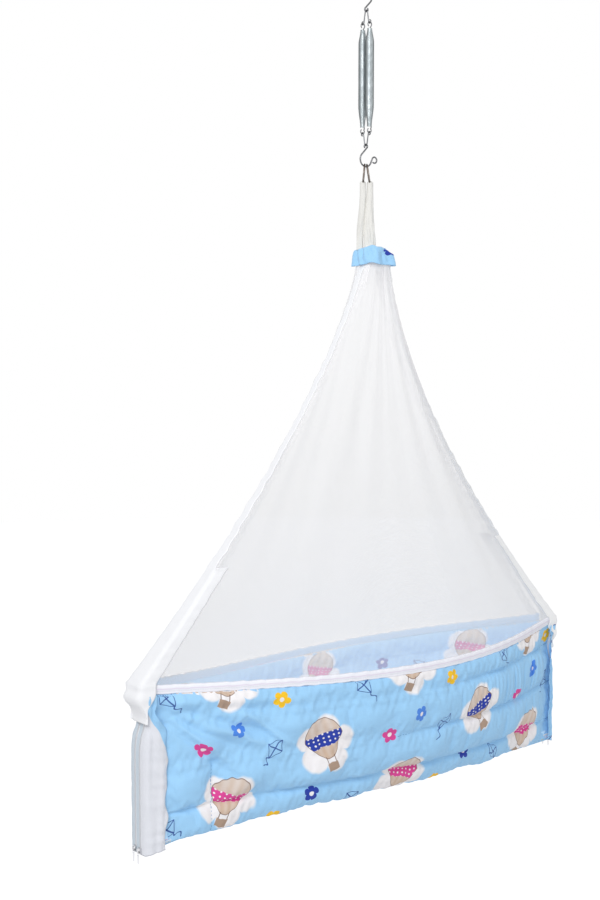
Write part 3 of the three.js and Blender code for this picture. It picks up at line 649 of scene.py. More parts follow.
def wire_wear_group():
    """Fine scratches along a wire, and dull patches where it has been handled."""

    def fill(n, given, out):
        lines = n.vector("MULTIPLY", given["Vector"], (2600, 60, 0))
        n.put(out["Scratch"], n.noise(lines, 1.0, 3.0))
        dull = n.noise(n.add("ShaderNodeTexCoord").outputs["Object"], given["Patch scale"], 4.0, 0.6)
        n.put(out["Dull"], n.line(dull, 3.0, -1.0, clamp=True))

    return node_group(
        "Wire wear",
        {"Vector": ("Vector", None), "Patch scale": ("Float", 120.0)},
        {"Scratch": "Float", "Dull": "Float"},
        fill,
    )


WHITE = (1, 1, 1, 1)
# Threads per metre of the white cotton, of the printed cotton and of a sewing thread
WHITE_WEAVE, PRINT_WEAVE, THREAD_WEAVE = 2400, 2600, 9000
# The repeat of the print, and its motifs with their places in it and their turns
TILE = (330 * MM, 214 * MM)
EDGE = 0.6 * MM
CLOUD_EDGE = 5 * MM
BALLOON_SIZE = 1.42
KITE_SIZE = 1.15
BALLOONS = (("Pink", (75 * MM, 62 * MM), 0.3), ("Navy", (238 * MM, 160 * MM), -0.35))
KITES = (((150 * MM, 160 * MM), 0.5), ((305 * MM, 40 * MM), -0.7))
FLOWERS = (
    ("Yellow", (160 * MM, 28 * MM), 0.2),
    ("Navy", (225 * MM, 62 * MM), 1.0),
    ("Pink", (30 * MM, 160 * MM), 0.7),
    ("Mid blue", (88 * MM, 190 * MM), 0.1),
)


def motif(n, vector, centre, turn, size=1.0):
    """The place in a motif: it repeats over the tile, and is turned about its centre.
    The last value is the distance from the centre, before the motif is sized."""
    moved = n.vector("SUBTRACT", vector, (*centre, 0))
    half_x, half_y = TILE[0] / 2, TILE[1] / 2
    wrapped = n.vector("WRAP", moved, (half_x, half_y, 1), (-half_x, -half_y, -1))
    turned = n.turned(wrapped, turn)
    x, y = (n.math("DIVIDE", part, size) for part in n.parts(turned)[:2])
    return x, y, n.vector("LENGTH", turned)


def lobed(n, x, y, depth, least):
    """The edge of a shape with five lobes, as its distance from the middle by angle."""
    angle = n.math("ARCTAN2", y, x)
    wave = n.absolute(n.math("COSINE", n.times(angle, 2.5)))
    return n.line(n.math("SQRT", wave), depth, least)


def flower(n, color, vector, centre, turn, petal, middle):
    """A daisy with five round petals and a pale middle."""
    x, y, far = motif(n, vector, centre, turn)
    edge = lobed(n, x, y, 6 * MM, 8 * MM)
    color = n.blend(n.inside(n.minus(far, edge), EDGE), color, petal)
    return n.blend(n.inside(n.minus(far, 3.8 * MM), EDGE), color, middle)


def length(n, x, y):
    squares = (n.times(part, part) for part in (x, y))
    return n.math("SQRT", n.plus(*squares))


def balloon(n, color, vector, centre, turn, given, band):
    """A pale scalloped cloud with a hot-air balloon in it, with a dotted band."""
    envelope_radius, basket_half, basket_drop = 22 * MM, 6.5 * MM, 27 * MM
    x, y, far = motif(n, vector, centre, turn, BALLOON_SIZE)
    edge = lobed(n, x, y, 18 * MM, 33 * MM)
    color = n.blend(n.inside(n.minus(far, edge), CLOUD_EDGE), color, given["Patch"])
    # The envelope is round above and drawn in below
    rise = n.minus(y, 8 * MM)
    below = n.math("MAXIMUM", n.times(rise, -1.0), 0.0)
    wide = n.times(x, n.line(below, 26.0, 1.0))
    high = n.times(rise, 0.88)
    skin = n.minus(length(n, wide, high), envelope_radius)
    # Its gores shade it from side to side, and it pales upward
    gore = n.math("COSINE", n.times(wide, 560.0))
    shade = n.line(gore, 0.1, n.line(y, 7.0, 0.14), clamp=True)
    envelope = n.blend(shade, given["Tan"], given["Patch"])
    dot_x = n.math("WRAP", x, 3 * MM, -3 * MM)
    dot_y = n.math("WRAP", rise, 2.6 * MM, -2.6 * MM)
    dot = n.minus(length(n, dot_x, dot_y), 1.1 * MM)
    dotted = n.blend(n.inside(dot, EDGE), band, given["Patch"])
    belt = n.within(rise, -2 * MM, 8 * MM)
    envelope = n.blend(n.inside(belt, EDGE), envelope, dotted)
    color = n.blend(n.inside(skin, EDGE), color, envelope)
    side = n.absolute(x)
    ropes = n.math("MAXIMUM", n.within(side, 5 * MM, 0.45 * MM), n.within(y, -19 * MM, 5 * MM))
    color = n.blend(n.inside(ropes, EDGE), color, given["Line"])
    beside = n.minus(side, basket_half)
    basket = n.math("MAXIMUM", beside, n.within(y, -basket_drop, 5 * MM))
    color = n.blend(n.inside(basket, EDGE), color, n.blend(0.45, given["Tan"], given["Line"]))
    return n.blend(n.inside(n.within(skin, 0.0, 0.35 * MM), EDGE), color, given["Line"])


def kite(n, color, vector, centre, turn, line):
    """A kite drawn in one thin line, with a cross and a wavy tail."""
    x, y, _ = motif(n, vector, centre, turn, KITE_SIZE)
    side, rise = n.absolute(x), n.absolute(y)
    diamond = n.line(side, 1.35, n.minus(rise, 16 * MM))
    cross = n.math("MAXIMUM", n.math("MINIMUM", side, rise), diamond)
    drawn = n.math("MINIMUM", n.absolute(diamond), cross)
    wave = n.line(n.math("SINE", n.times(y, 420.0)), -2.2 * MM, x)
    tail = n.math("MAXIMUM", n.absolute(wave), n.within(y, -24 * MM, 8 * MM))
    drawn = n.math("MINIMUM", drawn, tail)
    return n.blend(n.inside(n.minus(drawn, 0.8 * MM), EDGE), color, line)


def print_group():
    """The printed cotton: clouds with balloons, daisies and thin line kites."""

    def fill(n, given, out):
        color, vector = given["Ground"], given["Vector"]
        for centre, turn in KITES:
            color = kite(n, color, vector, centre, turn, given["Line blue"])
        for tone, centre, turn in BALLOONS:
            color = balloon(n, color, vector, centre, turn, given, given[tone])
        for tone, centre, turn in FLOWERS:
            color = flower(n, color, vector, centre, turn, given[tone], given["Patch"])
        n.put(out["Color"], color)

    inputs = {"Vector": ("Vector", None)}
    names = ("Ground", "Patch", "Tan", "Pink", "Navy", "Yellow", "Mid blue", "Line", "Line blue")
    inputs.update({name: ("Color", (0.5, 0.5, 0.5, 1)) for name in names})
    return node_group("Balloon print", inputs, {"Color": "Color"}, fill)


def net_group():
    """Fine knotted net: a mask of its threads."""

    def fill(n, given, out):
        parts = n.parts(n.turned(given["Vector"], math.pi / 4))
        half = n.times(given["Pitch"], 0.5)
        low = n.times(half, -1.0)
        near = [n.absolute(n.math("WRAP", part, half, low)) for part in parts[:2]]
        thread = n.math("DIVIDE", n.math("MINIMUM", *near), half)
        n.put(out["Thread"], n.line(thread, -1.6, 1.0, clamp=True))

    return node_group(
        "Net threads",
        {"Vector": ("Vector", None), "Pitch": ("Float", 1.1 * MM)},
        {"Thread": "Float"},
        fill,
    )


# Materials


def started(name):
    """A new material, its node helper, its shader and a UV socket in metres."""
    look = bpy.data.materials.new(name)
    look.use_nodes = True
    return look, *opened(look)


def opened(look):
    nodes = Nodes(look.node_tree)
    uv = nodes.add("ShaderNodeUVMap", {"uv_map": "UVMap"}).outputs[0]
    return nodes, look.node_tree.nodes["Principled BSDF"], uv


def grouped(nodes, tree, **inputs):
    return nodes.add("ShaderNodeGroup", {"node_tree": tree}, **inputs).outputs


def bumped(nodes, shader, *layers):
    """Sets the shader's normal from heights, each given with its depth in metres."""
    normal = None
    for height, depth in layers:
        bump = nodes.add("ShaderNodeBump", Height=height, Distance=depth, Strength=1.0)
        if normal is not None:
            nodes.put(bump.inputs["Normal"], normal)
        normal = bump.outputs[0]
    nodes.put(shader.inputs["Normal"], normal)


def wire_look(name, color, dull_color, rough, scale):
    """Drawn wire. Its colour darkens toward the sides as they turn from the view: a painted
    dark reflection, standing in for the darker surroundings that a round wire mirrors there."""
    look, n, shader, uv = started(name)
    wear = grouped(n, wire_wear_group(), Vector=uv, Patch_scale=scale)
    # Painted dark reflection: the colour turns dark toward the sides that face away from the view
    facing = n.add("ShaderNodeLayerWeight", Blend=0.5).outputs["Facing"]
    edge = n.line(facing, 2.4, -0.3, clamp=True)
    worn = n.blend(wear["Dull"], (*color, 1), (*dull_color, 1))
    painted_dark_reflection = (*(0.22 * part for part in dull_color), 1)
    n.put(shader.inputs["Base Color"], n.blend(edge, worn, painted_dark_reflection))
    rough_base = n.line(wear["Scratch"], 0.18, rough - 0.09)
    roughness = n.line(wear["Dull"], 0.15, rough_base)
    n.feed(shader, Roughness=roughness, Metallic=1.0)
    bumped(n, shader, (wear["Scratch"], 0.02 * MM))
    return look


def cloth_look(name, color, threads, crease_depth, sheen, painted_glow=0.0, faded=0.0):
    """A woven cotton, with the print on it where no colour is given. faded pales the print
    as its wrong side."""
    look, n, shader, uv = started(name)
    cloth = bpy.context.scene.cradle_cloth
    if color is None:
        inks = {
            "Ground": cloth.ground_color, "Patch": cloth.patch_color, "Tan": cloth.tan_color,
            "Pink": cloth.pink_color, "Navy": cloth.navy_color, "Yellow": cloth.yellow_color,
            "Mid_blue": cloth.blue_color, "Line": (0.16, 0.08, 0.05), "Line_blue": (0.03, 0.08, 0.3),
        }
        inks = {name: (*ink, 1) for name, ink in inks.items()}
        base = grouped(n, print_group(), Vector=uv, **inks)["Color"]
        if faded:
            base = n.blend(faded, base, (0.6, 0.6, 0.62, 1))
    else:
        base = tuple(color)
    weave = grouped(n, weave_group(), Vector=uv, Threads_per_metre=threads)
    tone = grouped(n, soft_tone_group(), Vector=uv, Amount=0.08)
    slub = n.line(weave["Slub"], 0.1, 0.95)
    shade = n.times(tone["Tone"], slub)
    shown = n.vector("MULTIPLY", base, n.uniform(shade))
    roughness = n.line(weave["Slub"], 0.2, 0.7)
    n.feed(shader, Base_Color=shown, Roughness=roughness, Sheen_Weight=sheen, Specular_IOR_Level=0.3)
    # Painted light: the cloth glows evenly, standing in for the light that thin cloth lets through
    # from its other side
    n.feed(shader, Emission_Color=shown if color is None else WHITE, Emission_Strength=painted_glow)
    bumped(n, shader, (tone["Crease"], crease_depth), (weave["Height"], 0.05 * MM))
    return look


def binding_look():
    """White cotton tape with a faint lilac line along its face."""
    look = cloth_look("binding_cotton", (0.9, 0.9, 0.96), WHITE_WEAVE, 0.5 * MM, 0.15)
    n, shader, uv = opened(look)
    across = n.parts(uv)[0]
    share = n.times(n.inside(n.within(across, 9 * MM, 0.9 * MM), EDGE), 0.5)
    plain = shader.inputs["Base Color"].links[0].from_socket
    n.put(shader.inputs["Base Color"], n.blend(share, plain, (0.72, 0.6, 0.78, 1)))
    return look


def net_look(name, cover_share):
    """Sheer net. It covers more where it is seen at a slant, as its threads close up, and
    where it is gathered under the collar. cover_share thins it for a hem."""
    look, n, shader, uv = started(name)
    cloth = bpy.context.scene.cradle_cloth
    thread = grouped(n, net_group(), Vector=uv, Pitch=1.1 * MM)["Thread"]
    tone = grouped(n, soft_tone_group(), Vector=uv, Amount=0.06)
    down = n.parts(uv)[1]
    # Painted shade: the net's colour darkens toward the bottom
    fall = n.times(down, 1.6, clamp=True)
    value = n.times(tone["Tone"], n.line(fall, -0.16, 1.0))
    shade = n.uniform(value)
    n.put(shader.inputs["Base Color"], n.vector("MULTIPLY", (*cloth.net_color,), shade))
    facing = n.add("ShaderNodeLayerWeight", Blend=0.5).outputs["Facing"]
    slanted = n.times(n.math("POWER", facing, 2.5), 0.3 * cover_share)
    cover = n.line(thread, 0.1, cloth.net_cover * cover_share - 0.05)
    cover = n.plus(cover, slanted)
    gathered = n.times(n.math("POWER", 0.5, n.math("DIVIDE", down, 22 * MM)), 0.5)
    cover = n.plus(cover, gathered, clamp=True)
    # White net sends on most of the light that it catches, so its shadow is faint
    shadow = n.add("ShaderNodeLightPath").outputs["Is Shadow Ray"]
    kept = n.line(shadow, -0.7, 1.0)
    n.put(shader.inputs["Alpha"], n.times(cover, kept))
    n.feed(shader, Roughness=0.9, Sheen_Weight=0.2, Specular_IOR_Level=0.2)
    # Painted light: an even glow stands in for the light that the net lets through from behind
    n.feed(shader, Emission_Color=WHITE, Emission_Strength=0.16)
    bumped(n, shader, (tone["Crease"], 0.15 * MM))
    return look


def look(name):
    """A finish by name, made the first time it is asked for."""
    if name in bpy.data.materials:
        return bpy.data.materials[name]
    metal, cloth = bpy.context.scene.cradle_hardware, bpy.context.scene.cradle_cloth
    # Colour, dull colour, roughness and how fine the dull patches are
    wires = {
        "bright_wire": (metal.wire_color, (0.17, 0.17, 0.18), 0.3, 160.0),
        "spring_wire": (metal.spring_color, (0.55, 0.61, 0.63), 0.3, 60.0),
        "browned_wire": (metal.ring_color, (0.18, 0.14, 0.11), 0.4, 220.0),
        "zip_metal": (metal.zip_color, (0.4, 0.4, 0.4), 0.3, 300.0),
    }
    # Colour (none for the print), weave, depth of creases, sheen, painted glow and fading
    cottons = {
        "white_cotton": (cloth.white_color, WHITE_WEAVE, 1.0 * MM, 0.15, 0.09),
        # The straps' painted glow lightens the shaded crease between them
        "strap_cotton": ((0.66, 0.65, 0.615), WHITE_WEAVE, 1.0 * MM, 0.15, 0.12),
        # The zip bands' white cloth is set greyer and bluer than white_cotton as painted shade
        "band_cotton": ((0.72, 0.735, 0.785), WHITE_WEAVE, 1.4 * MM, 0.15, 0.03),
        # The left web behind the back chain: light blue cloth, greyed as painted shade
        "web_cotton": ((0.55, 0.63, 0.7), WHITE_WEAVE, 1.4 * MM, 0.15, 0.03),
        # The right hem: a dark grey base under a strong painted glow, so it looks about as bright in
        # shade as where it is lit
        "hem_cotton": ((0.52, 0.525, 0.53), WHITE_WEAVE, 1.0 * MM, 0.15, 0.34),
        "thread": ((0.8, 0.82, 0.86), THREAD_WEAVE, 0.1 * MM, 0.1),
        "blue_thread": ((0.13, 0.3, 0.55), THREAD_WEAVE, 0.1 * MM, 0.1),
        "zip_teeth": ((0.74, 0.75, 0.78), THREAD_WEAVE, 0.05 * MM, 0.0),
        "pad_cotton": (cloth.ground_color, PRINT_WEAVE, 0.8 * MM, 0.15),
        "printed_cotton": (None, PRINT_WEAVE, 2.0 * MM, 0.12, 0.04),
        # The lining's strong painted glow lifts the inside of the bed out of its shade
        "printed_lining": (None, PRINT_WEAVE, 2.0 * MM, 0.12, 0.27, 0.26),
        "plain_lining": ((0.48, 0.64, 0.8), PRINT_WEAVE, 0.8 * MM, 0.15, 0.16),
    }
    nets = {"sheer_net": 1.0, "sheer_hem": 0.4}
    if name in wires:
        return wire_look(name, *wires[name])
    if name in cottons:
        return cloth_look(name, *cottons[name])
    return net_look(name, nets[name]) if name in nets else binding_look()


# Shape of the bed and the net, as functions of the place along it and the share down it


def half_width(u):
    bulge = np.maximum(0, 1 - u * u) ** BED_PLAN_POWER * (1 + BED_SKEW_SHARE * u)
    return BED_END_HALF + (BED_HALF_WIDTH - BED_END_HALF) * bulge


def base_half(u):
    return mix(BASE_HALF, BED_END_HALF, u * u)


def rim_z(u):
    return RIM_END_Z - RIM_SAG * (1 - u * u)


def wall_top_z(u):
    return rim_z(u) - BINDING_HEIGHT / 2 - LINE_GAP


def base_z(u):
    return BASE_END_Z + BASE_RISE * (1 - u ** 6) + RIGHT_END_RISE * clamp01(u) ** 6


def wall_surface(side, u, share, inset):
    """Points of a wall, and the way its face looks. inset is the depth below the face."""
    fall = wall_top_z(u) - base_z(u)
    turn = np.arcsin(share)
    narrow = base_half(u)
    wide = half_width(u) - inset - narrow
    y = narrow + wide * np.cos(turn)
    z = wall_top_z(u) - (fall - inset) * share
    level, down = fall * (np.cos(turn) + 0.06), np.maximum(wide, 0) * np.sin(turn)
    size = np.hypot(level, down)
    x = u * BED_HALF_LENGTH - np.sign(u) * pulled_in(z) * clamp01(np.abs(u) * 6 - 5)
    return stacked(x, side * y, z), stacked(0, side * level / size, -down / size)


def pulled_in(z):
    """How far the cloth under a corner of the bed is drawn in by its zips."""
    return CORNER_DRAW * bell(z - RIM_END_Z + CORNER_DRAW_DROP, 26 * MM)


def web_x(z):
    """How far out the inner face of a zip band's web stands."""
    foot_z, top_z = RIM_END_Z - CORNER_DROP, CORNER_FOOT_Z - LINE_GAP
    lean = soft_step((z - foot_z) / (top_z - foot_z))
    return mix(BED_HALF_LENGTH + LINE_GAP, CORNER_REACH + 0.5 * MM, lean) - pulled_in(z)


def edge_reach(share):
    return mix(NET_TOP_HALF + TAPE, CORNER_REACH, clamp01(share) ** NET_SPREAD_POWER)


def edge_half(share):
    return mix(NET_EDGE_TOP, BED_END_HALF - NET_INSET, share ** 3)


def net_reach(share):
    drawn = soft_step((share - NET_DRAW_SHARE) / (1 - NET_DRAW_SHARE))
    return edge_reach(share) - TAPE - (CORNER_REACH - TAPE - BED_HALF_LENGTH) * drawn


def net_depth(u, share):
    """How far out a net lies from the middle of the bed."""
    square = mix(5, 2, np.sqrt(share))
    plan = np.maximum(0, 1 - np.abs(u) ** square) ** mix(0.6, BED_PLAN_POWER, share)
    depth = mix(NET_TOP_HALF, BED_HALF_WIDTH - NET_INSET, share)
    edge = edge_half(share)
    return edge + (depth - edge) * plan * (1 + BED_SKEW_SHARE * u * share)


def net_surface(side, u, share, folds):
    """Points of a net. folds stands out from its smooth shape."""
    shift = (1 - share) ** 3
    y = net_depth(u, share) + folds
    z = mix(NET_TOP_Z, rim_z(u) + BINDING_HEIGHT / 2 + LINE_GAP, share)
    x = u * net_reach(share) + shift * COLLAR_CENTRE[0]
    return stacked(x, side * y + shift * COLLAR_CENTRE[1], z)


def across_tape():
    """The way across a folded tape, -1 to 1 by column, and how far out each column is on
    its flange."""
    turn = np.linspace(-1, 1, TAPE_COLUMNS + 1)[None, :]
    return turn, clamp01((np.abs(turn) - WEB_SHARE) / (1 - WEB_SHARE))


def channel(web_reach, web_half, tip_reach, tip_half, rounding, cloth=None):
    """X and Y of a tape folded round an end, by row: a web across it and a flange on each
    side, with rounded corners. cloth gives the least Y over which a flange has to lie."""
    turn, flange = across_tape()
    web = clamp01(np.abs(turn) / WEB_SHARE)
    near = bell(np.abs(turn) - WEB_SHARE, 0.08)
    x = mix(web_reach, tip_reach, flange) - rounding * near
    y = mix(web_half * web, tip_half, flange) - rounding * near
    if cloth is not None:
        y = np.where(flange > 0.25, np.maximum(y, cloth(x)), y)
    return x, np.sign(turn) * y, turn


# Operators


class Make:
    """What each operator of the cradle shares."""

    bl_options = {"REGISTER", "UNDO"}


def hook_path():
    """A hook's wire in its plane, with the seat inside its bend at zero and the eye above."""
    centre = HOOK_BEND - HOOK_WIRE / 2
    lean = math.pi - HOOK_LEAN
    start = (HOOK_BEND * math.cos(lean), centre + HOOK_BEND * math.sin(lean))
    eye = start[1] - start[0] + HOOK_EYE / math.sin(HOOK_LEAN)
    points = arc((0, eye), HOOK_EYE, -HOOK_LEAN + math.radians(262), -HOOK_LEAN, 20)
    bend = arc((0, centre), HOOK_BEND, lean, 2 * math.pi + HOOK_TIP_TURN, 24)
    last = bend[-1]
    turn = HOOK_TIP_TURN
    tip_start = (last[0] - HOOK_TIP_REACH * math.sin(turn), last[1] + HOOK_TIP_REACH * math.cos(turn))
    tip = (tip_start[0] + HOOK_TIP * math.cos(turn), tip_start[1] + HOOK_TIP * math.sin(turn))
    curl = arc(tip, HOOK_TIP, math.pi + turn, math.pi + turn - math.radians(280), 18)
    return points + bend + curl


def yoke_path():
    """A yoke's wire in its plane, with the top of its apex at zero."""
    beta = YOKE_SPREAD
    apex = arc((0, -YOKE_APEX), YOKE_APEX, beta, math.pi - beta, 12)
    foot_y = YOKE_APEX * math.cos(beta) + YOKE_LEG * math.sin(beta)
    foot_z = YOKE_APEX * (math.sin(beta) - 1) - YOKE_LEG * math.cos(beta)
    eye = (foot_y + YOKE_EYE * math.cos(beta), foot_z + YOKE_EYE * math.sin(beta))
    loop = arc(eye, YOKE_EYE, math.pi + beta + math.radians(255), math.pi + beta, 16)
    return loop + apex + [(-y, z) for y, z in reversed(loop)]


class CRADLE_OT_wires(Make, bpy.types.Operator):
    """Makes the two hooks, the two yokes and the two rings"""

    bl_idname = "cradle.wires"
    bl_label = "Hooks, yokes and rings"

    def execute(self, context):
        for node, body, sign in (("top_s_hook", "hanger", -1), ("lower_s_hook", "lower_hook", 1)):
            low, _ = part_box(node)
            seat_z = low.z + HOOK_WIRE if sign > 0 else 0.0
            path = [(sign * x, 0, seat_z + sign * z) for x, z in hook_path()]
            self.bend(node, body, path, HOOK_WIRE)
        for node, body, sign in (("upper_yoke", "suspension", 1), ("lower_yoke", "spring_foot", -1)):
            low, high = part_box(node)
            apex_z = high.z - YOKE_WIRE / 2 if sign > 0 else low.z + YOKE_WIRE / 2
            path = [(0, y, apex_z + sign * z) for y, z in yoke_path()]
            self.bend(node, body, path, YOKE_WIRE)
        for node, splay in (("left_ring", LEFT_SPLAY), ("right_ring", -RIGHT_SPLAY)):
            low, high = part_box(node)
            centre = (low + high) / 2 + Vector((0, 0, RING_LIFT))
            angles = round_angles(96)
            across = (math.cos(RING_TURN), math.sin(RING_TURN))
            along = (-across[1], across[0])
            wide, tall = RING_RADIUS * np.cos(angles), RING_RADIUS * np.sin(angles)
            lean = tall * math.sin(splay)
            x, y = (along[k] * wide + across[k] * lean for k in (0, 1))
            path = np.stack([x, y, tall * math.cos(splay)], axis=1) + np.array(centre)
            ring = closed_tube(node + "_wire", path, RING_WIRE / 2, WIRE_SIDES)
            place(ring, "cradle", [look("browned_wire")], [node])
        return {"FINISHED"}

    def bend(self, node, body, path, wire):
        mesh = tube_mesh(node + "_wire", eased(path, WIRE_STEP), wire / 2, WIRE_SIDES)
        place(mesh, body, [look("bright_wire")], [node])


def closed_tube(name, path, radius, sides):
    """A tube round a flat closed path."""
    after = np.roll(path, -1, axis=0) - np.roll(path, 1, axis=0)
    tangent = after / np.linalg.norm(after, axis=1, keepdims=True)
    out = path - path.mean(axis=0)
    out /= np.linalg.norm(out, axis=1, keepdims=True)
    side = np.cross(tangent, out)
    angle = round_angles(sides)[None, :, None]
    points = path[:, None] + radius * (np.cos(angle) * out[:, None] + np.sin(angle) * side[:, None])
    points = np.concatenate([points, points[:1]])
    mesh = grid_mesh(name, points, lengths_uv(points, True), around=True)
    work = bmesh.new()
    work.from_mesh(mesh)
    bmesh.ops.remove_doubles(work, verts=work.verts, dist=1e-6)
    work.to_mesh(mesh)
    work.free()
    face_out(mesh)
    return mesh


class CRADLE_OT_springs(Make, bpy.types.Operator):
    """Winds the two springs, which stretch between the yokes"""

    bl_idname = "cradle.springs"
    bl_label = "Springs"

    def execute(self, context):
        turns = context.scene.cradle_hardware.spring_turns
        count = turns * POINTS_PER_TURN
        for node in ("front_spring", "back_spring"):
            low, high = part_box(node)
            y = (low.y + high.y) / 2
            top, foot = high.z - SPRING_WIRE / 2, low.z + SPRING_WIRE / 2
            coil_top = top - 2 * SPRING_LOOP - SPRING_NECK_GAP
            length = coil_top - (foot + 2 * SPRING_LOOP + SPRING_NECK_GAP)
            fall = np.linspace(0, length, count)
            cone = clamp01(np.minimum(fall / SPRING_CONES[0], (length - fall) / SPRING_CONES[1]))
            radius = mix(SPRING_NECK, SPRING_RADIUS, smooth(cone))
            angle = np.linspace(0, 2 * math.pi * turns, count)
            coil = stacked(radius * np.cos(angle), y + radius * np.sin(angle), coil_top - fall)
            start, end = math.radians(226), math.radians(-38)
            upper = [(x, y, z) for x, z in arc((0, top - SPRING_LOOP), SPRING_LOOP, start, end, 18)]
            lower = [(x, y, z) for x, z in arc((0, foot + SPRING_LOOP), SPRING_LOOP, -end, -start, 18)]
            above = eased(upper + [tuple(coil[3])], JOINT_STEP)
            below = eased([tuple(coil[-4])] + lower, JOINT_STEP)
            path = np.vstack([above, coil[4:-4], below])
            mesh = tube_mesh(node + "_coil", path, SPRING_WIRE / 2, 8)
            looks = [look("spring_wire"), look("bright_wire")]
            piece = place(mesh, None, looks, [node])
            for patch in mesh.polygons:
                height = patch.center.z
                patch.material_index = int(height > coil_top or height < coil_top - length)
            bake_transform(piece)
        return {"FINISHED"}


class CRADLE_OT_straps(Make, bpy.types.Operator):
    """Makes the two gathered straps that hang from the rings"""

    bl_idname = "cradle.straps"
    bl_label = "Straps"

    def execute(self, context):
        across = np.array((math.cos(RING_TURN), math.sin(RING_TURN), 0))
        along = np.array((-across[1], across[0], 0))
        for node, side, splay, foot, half in (
            ("left_strap", -1, LEFT_SPLAY, (-9.2 * MM, 3 * MM), (5.6 * MM, 7 * MM)),
            ("right_strap", 1, RIGHT_SPLAY, (6.4 * MM, 0.5 * MM), (9.6 * MM, 7 * MM)),
        ):
            ring_low, ring_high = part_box(node.replace("strap", "ring"))
            ring_centre = np.array((ring_low + ring_high) / 2)
            down = across * side * math.sin(splay) + np.array((0, 0, -math.cos(splay)))
            bar = ring_centre + down * RING_RADIUS
            top_z, foot_z = bar[2] + 4.4 * MM, COLLAR_HIGH.z - COLLAR_WALL - 2 * MM
            rows, cols = 90, 96
            share = np.linspace(0, 1, rows)[:, None]
            ease = smooth(share)
            angle = round_angles(cols)[None, :]
            # Rounded over the ring's bar, drawn in below it and wider toward the collar
            crown = np.sqrt(clamp01(share / 0.035)) * 0.98 + 0.02
            waist = 1 - 0.03 * np.sin(math.pi * clamp01(share / 0.3))
            wide = mix(5.4 * MM, half[0], ease) * crown * waist
            deep = mix(7 * MM, half[1], ease) * crown
            gather = waves(angle * 8 * MM, share * 60 * MM, 11 + side, 5, 5 * MM, 12 * MM)
            fold = (0.25 + 0.75 * ease) * crown * 0.75 * MM * gather
            middle_a = mix(bar.dot(across), foot[0], ease) + 0.5 * MM * np.sin(7 * share + side)
            middle_b = mix(bar.dot(along), foot[1], ease)
            a = middle_a + (wide + fold) * np.cos(angle)
            b = middle_b + (deep + fold) * np.sin(angle)
            z = mix(top_z, foot_z, share) + 0 * angle
            points = a[..., None] * across + b[..., None] * along
            points[..., 2] = z
            uv = lengths_uv(points, True)
            mesh = grid_mesh(node + "_cloth", points, uv, around=True, capped=True)
            face_out(mesh)
            piece = place(mesh, "cradle", [look("strap_cotton")], [node])
        return {"FINISHED"}


class CRADLE_OT_collar(Make, bpy.types.Operator):
    """Makes the printed collar round the top of the nets"""

    bl_idname = "cradle.collar"
    bl_label = "Collar"

    def execute(self, context):
        rows, cols = 34, 160
        share = np.linspace(0, 1, rows)[:, None]
        angle = round_angles(cols)[None, :]
        square, fold = 7.0, 0.42
        unit = (np.abs(np.cos(angle)) ** square + np.abs(np.sin(angle)) ** square) ** (-1 / square)
        over = clamp01(share / fold)
        down = clamp01((share - fold) / (1 - fold))
        radius = mix(13 * MM, COLLAR_HALF, over ** 0.8) + COLLAR_FLARE * down
        radius = radius * mix(1.0, unit, over ** 2)
        ruffle = waves(angle * COLLAR_HALF, down * 22 * MM, 5, 5, 9 * MM, 26 * MM) * 2.2 * MM * over
        x = COLLAR_CENTRE[0] + (radius + ruffle) * np.cos(angle)
        y = COLLAR_CENTRE[1] + (radius + ruffle) * np.sin(angle)
        # The near corner is raised, the ones beside it droop, and the right one hangs lowest
        near_ridge = self.toward(angle, -0.7, -0.72, 0.1)
        low_corner = self.toward(angle, 0.72, -0.7, 0.22)
        side_corners = low_corner + self.toward(angle, -0.72, 0.7, 0.22)
        arch = (4.5 * near_ridge - 1.5 * side_corners) * MM * over * (1 - 0.3 * down)
        fall = COLLAR_HIGH.z - COLLAR_LOW.z - 4 * MM
        drooped = 7 * MM * low_corner * over * (1 - down)
        z = COLLAR_HIGH.z - 3 * MM * over + arch - drooped - fall * down
        sag = 1.6 * MM * waves(angle * COLLAR_HALF, 0 * down, 8, 4, 20 * MM, 60 * MM)
        z = z + sag * over * (1 - 0.4 * down)
        points = stacked(x, y, z + 0 * angle)
        uv = lengths_uv(points, True) + np.array((60 * MM, 52 * MM))
        mesh = grid_mesh("collar_cloth", points, uv, around=True)
        piece = place(mesh, "cradle", [look("printed_cotton")], ["collar"])
        thicken(piece, CLOTH_SKIN, -1)
        return {"FINISHED"}

    def toward(self, angle, x, y, width):
        """1 in a direction round the collar, falling softly to 0 on both sides."""
        return np.exp(-((np.cos(angle) - x) ** 2 + (np.sin(angle) - y) ** 2) / width)


class CRADLE_OT_nets(Make, bpy.types.Operator):
    """Hangs the front and the back net"""

    bl_idname = "cradle.nets"
    bl_label = "Nets"

    def execute(self, context):
        for node, side in (("front_net", -1), ("back_net", 1)):
            u = np.linspace(-1, 1, 301)[None, :]
            share = np.linspace(0, 1, 161)[:, None] ** 1.15
            near_edge = clamp01((1 - np.abs(u)) / 0.12)
            fade = np.sin(math.pi * np.sqrt(share)) * near_edge
            room = clamp01(edge_reach(share) / 0.16)
            wide = waves(u, share * 0.12, 31 + side, 4, 0.22, 0.5)
            fine = waves(u, share * 0.05, 47 + side, 4, 0.06, 0.13)
            folds = 3.0 * MM * wide * fade * room + 0.15 * MM * fine * fade * clamp01(1.2 - share)
            # On the front one deep fold falls from the collar
            spread = 0.05 + 0.16 * share
            dip = bell(u - 0.1, spread) * clamp01(share / 0.02) * np.exp(-share / 0.07)
            folds = folds - 9 * MM * dip * (side < 0)
            points = net_surface(side, u, share, folds)
            tucked = points[:1] + np.array((0, 0, 10 * MM))
            points = np.concatenate([tucked, points])
            mesh = grid_mesh(node + "_cloth", points, lengths_uv(points))
            piece = place(mesh, "cradle", [look("sheer_net")], [node])
        return {"FINISHED"}


